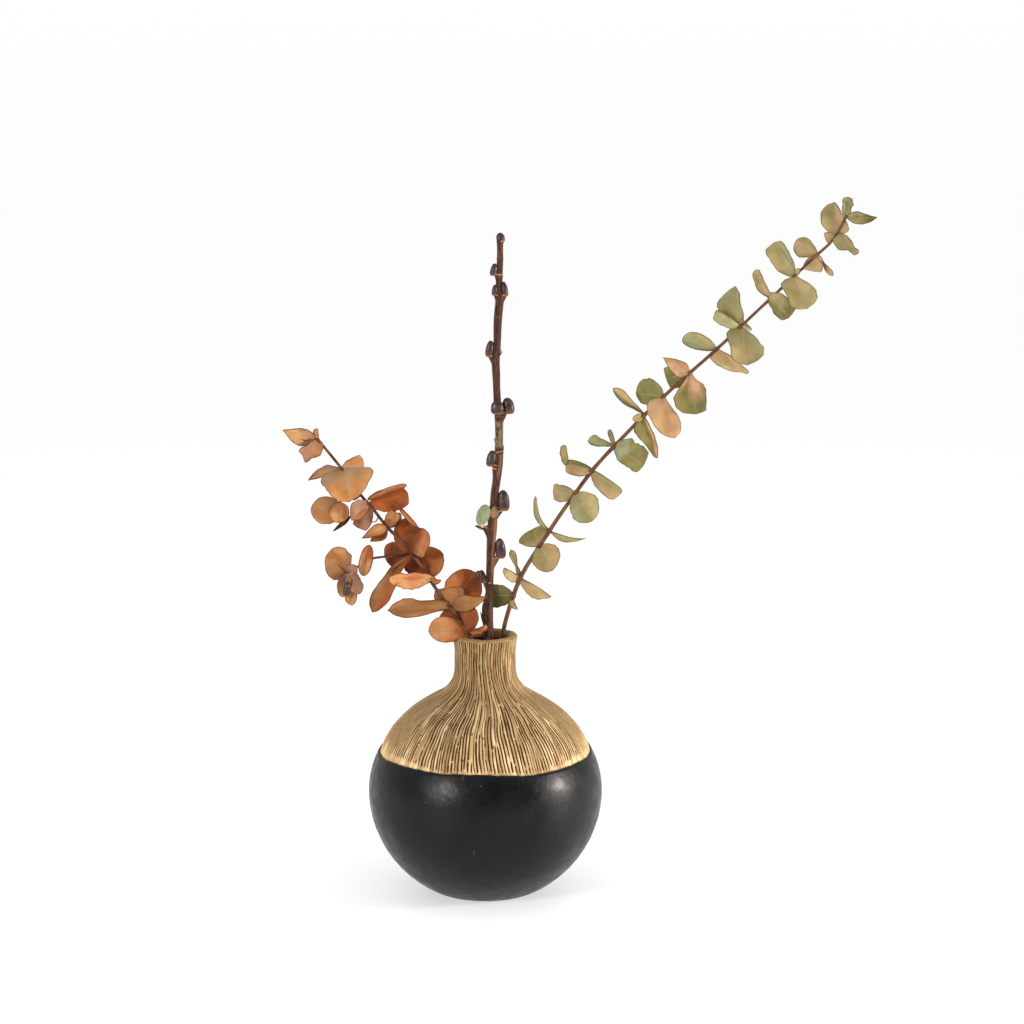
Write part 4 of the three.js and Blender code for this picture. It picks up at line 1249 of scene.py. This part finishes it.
GREEN_STEM = [
    (-34, 19, 9), (-11, 12, 105), (13, 3, 198), (16, 2, 211), (26, -1, 242), (41.5, -3, 269),
    (60, -6, 298), (81, -9, 328), (104, -11, 354), (134, -14, 385), (172, -17, 420),
    (208, -20, 455), (244, -23, 490), (258, -25, 504), (267, -26, 521),
]
LEAF_OUTLINES |= {
    "waist": [(0, 0.3), (0.15, 0.66), (0.32, 0.52), (0.42, 0.3), (0.6, 0.72), (0.8, 1),
              (0.93, 0.8), (1, 0.1)],
    "pouch": [(0, 0.25), (0.15, 0.55), (0.33, 0.84), (0.56, 1), (0.75, 0.76), (0.86, 0.44),
              (0.94, 0.3), (1, 0.2)],
    "drop": (
        [(0, 0.2), (0.2, 0.62), (0.5, 1), (0.8, 0.8), (1, 0.2)],
        [(0, 0.3), (0.14, 0.72), (0.27, 1), (0.5, 0.76), (0.7, 0.46), (0.85, 0.32), (1, 0.15)],
    ),
    "pear": (
        [(0, 0.1), (0.2, 0.35), (0.5, 0.8), (0.73, 1), (0.87, 0.82), (1, 0.2)],
        [(0, 0.75), (0.12, 0.93), (0.34, 1), (0.6, 0.88), (0.8, 0.66), (0.95, 0.32), (1, 0.1)],
    ),
    "flag": (
        [(0, 0.1), (0.2, 0.4), (0.33, 0.86), (0.5, 1), (0.75, 0.86), (0.95, 0.8), (1, 0.6)],
        [(0, 0.1), (0.2, 0.32), (0.33, 0.58), (0.56, 1), (0.8, 0.9), (0.93, 0.62), (1, 0.2)],
    ),
    "sail": (
        [(0, 0.15), (0.2, 0.46), (0.4, 0.86), (0.55, 1), (0.7, 0.86), (0.87, 0.5), (1, 0.08)],
        [(0, 0.6), (0.3, 1), (0.6, 0.5), (0.8, 0.7), (1, 0.1)],
    ),
    "skirt": (
        [(0, 0.1), (0.2, 0.36), (0.4, 0.7), (0.64, 1), (0.8, 0.95), (0.93, 0.6), (1, 0.2)],
        [(0, 0.6), (0.1, 1), (0.25, 1), (0.5, 0.88), (0.8, 0.93), (0.93, 0.6), (1, 0.2)],
    ),
    "tongue": (
        [(0, 0.3), (0.4, 1), (0.7, 0.8), (1, 0.3)],
        [(0, 0.92), (0.25, 1), (0.5, 0.85), (0.7, 0.62), (0.84, 0.3), (0.93, 0.24), (1, 0.2)],
    ),
    "bib": (
        [(0, 0.2), (0.12, 0.6), (0.28, 0.9), (0.43, 1), (0.65, 0.96), (0.8, 0.8), (0.95, 0.42),
         (1, 0.1)],
        [(0, 0.5), (0.06, 0.9), (0.14, 1), (0.3, 0.85), (0.53, 0.58), (0.78, 0.32), (1, 0.08)],
    ),
    "broken": (
        [(0, 0.6), (0.3, 1), (0.6, 0.8), (0.7, 0.5), (0.8, 0.3), (0.9, 0.5), (1, 0.5)],
        [(0, 0.6), (0.2, 0.9), (0.37, 1), (0.55, 0.8), (0.68, 0.44), (0.8, 0.4), (1, 0.4)],
    ),
}
GREEN_LEAVES = [
    blade(230, "olive|moss/moss", (-21, 10, -1.5), 9.3, 9.3, shape="cut", cup=1.5),
    blade(230, "mauve|sand/olive", (3, -3, -10.5), 2.6, 2.8, roll=40, cup=3),
    blade(244, "sage/khaki", (-7.4, 4, 21), 2.8, 2.8, shape="waist", cup=0.6, twist=15),
    blade(244, "khaki/sand", (-12.6, -6, 8.8), 6.2, 1.3, belly=0.4, cup=0.8),
    blade(244, "sand/khaki", (23.4, -6, -13.4), 1.5, 9, shape="pouch", cup=1),
    blade(269, "khaki-moss/olive", (-5, 17, 10), 13, 10.5, belly=0.56, cup=2),
    blade(269, "sand|khaki/moss", (10, -16, -15.4), 11.4, 10.4, belly=0.54, cup=2),
    blade(281, "sage|khaki/moss", (-10.8, -3, 27), 1.9, 1.9, shape="strap", bow=-4.5, cup=0.4,
          twist=20),
    blade(281, "sage|khaki/moss", (27, -4, -5), 2.4, 2.4, shape="pointed", bow=3.6, cup=0.6,
          twist=-15),
    blade(310, "khaki/moss", (-16.4, 10, -0.2), 7, 6.6, shape="cut", cup=1.5, ragged=1.5),
    blade(311, "khaki|sage/sage", (12, -16, -19), 11.6, 11.4, belly=0.58, cup=1.6, ragged=1.3),
    blade(328, "sand|moss/olive", (-20, 1, 4.4), 6.4, 5.6, shape="cut", fold=22, cup=2),
    blade(328, "khaki/sand", (-2, 0, 15.5), 3.6, 2, shape="strap", shift=(-19.4, 1, 4),
          ragged=2.5, cup=1),
    blade(328, "khaki|sand/moss", (22, -8, -15.7), 3, 9.3, shape="cut", fold=12, cup=1.5),
    blade(347, "sage/khaki", (-20, 4, 3.2), 2.6, 5.8, shape="spoon", ragged=2.6, cup=1),
    blade(347, "sage/khaki", (-4, 1, 12.4), 2, 1.8, shape="strap", ragged=2, cup=0.5),
    blade(347, "blue-moss/olive", (21.6, -14, -12.4), 12.5, 8.7, shape="cut", ragged=2.3, cup=1.5),
    blade(371, "moss|sand/khaki", (-24, 4, 19.5), 3.8, 4, shape="spoon", cup=1.5),
    blade(370, "khaki/olive", (-8, -2, -2.4), 3.4, 3.2, cup=0.6),
    blade(370, "blush|moss/moss", (10, -12, -30), 3.6, 10.5, shape="drop", fold=10, cup=1),
    blade(385, "moss/sage", (-20, 15, 0.8), 7.4, 12.6, belly=0.5, cup=2),
    blade(385, "blush|pale/khaki", (7.7, -16, -29), 7.5, 15, shape="pear", cup=1.5),
    blade(403, "blush/sage", (-20.7, -5, 12.5), 7, 5.4, shape="pointed", hook=1.5, fold=14),
    blade(403, "moss/sage", (-17, 13, -6), 8.6, 9.4, shape="cut", cup=1.5),
    blade(403, "blush-moss/moss", (4, -14, -29.2), 10.2, 15.6, shape="flag", cup=1.5, hook=0.6),
    blade(421, "blue|khaki/khaki", (-25.5, 5, 6.8), 4.4, 8.5, belly=0.6, cup=1.5, fold=6),
    blade(421, "sand/sage", (24, -6, -17), 2.8, 9.4, shape="tongue", cup=1, twist=12),
    blade(438, "sage/khaki", (-4, 5, 29.6), 16, 3.4, shape="sail", cup=1),
    blade(438, "sage/moss", (-19, -3, 12), 6.8, 2, shape="cut", cup=0.8),
    blade(438, "sand/khaki", (8, 2, -8), 1.5, 1.6, shape="strap", shift=(0, 0, 5), cup=0.4),
    blade(438, "sage-khaki/moss", (4, -14, -27), 14.3, 11.4, shape="skirt", cup=1.5),
    blade(460, "khaki|sand/khaki", (-12, 4, 20), 4.4, 3.4, shape="cut", ragged=1.6, cup=1.5,
          bow=-2.4, twist=25),
    blade(460, "khaki-moss/olive", (14, -12, -16), 9, 6.4, shape="cut", shift=(-2, 0, 2.4),
          ragged=1.7, cup=1.5),
    blade(476, "khaki|sage/khaki", (-14.5, 10, 24), 10, 5.6, shape="cut", cup=1.5),
    blade(476, "khaki/olive", (8.5, -14, -22.8), 11, 12, shape="skirt", cup=1.5),
    blade(476, "sand/olive", (3, -3, 6), 2, 2, belly=0.6, cup=0.5),
    blade(492, "sand|khaki/sand", (-15.4, 8, 9.4), 8.4, 6.2, belly=0.6, ragged=1.6, cup=2),
    blade(492, "sand/blush", (-2.3, 7, -13), 6.4, 8.6, shape="cut", cup=2),
    blade(492, "blush/sand", (11.6, -4, -15.2), 2, 2.4, shape="waist", cup=0.6, twist=25),
    blade(507, "khaki|sand/khaki", (-1.7, 5, 23.4), 12, 9.6, shape="bib", cup=1.4),
    blade(507, "grey/moss", (-8, 6, -3), 4.4, 4, shape="cut", cup=1),
    blade(507, "khaki/moss", (14.8, -10, -13), 4.2, 7.8, shape="broken", cup=1),
    blade(520, "khaki-olive/olive", (22.4, -5, 0), 4.8, 5.2, shape="pointed", cup=1, twist=30,
          fold=8),
    blade(520, "sage/khaki", (1.6, 2, 14.4), 4.2, 3.6, shape="cut", ragged=3.4, cup=1),
]
green_leaf = leaf_material(
    "dried green leaf", Rim=rgb(84, 72, 42), Veins=rgb(168, 164, 130), Flecks=rgb(112, 100, 66),
    Fleck_Share=0.3)
green_bark = bark_material(
    "green twig bark", Dark=rgb(64, 38, 22), Light=rgb(125, 85, 50), Blots=rgb(92, 58, 33))
leafy_stem("green_stem", GREEN_STEM, GREEN_LEAVES, 2.1, 0.95, 16, 480, green_bark,
           "green_eucalyptus")
leaves("green_leaf", GREEN_STEM, GREEN_LEAVES, 900, green_leaf, "green_eucalyptus")
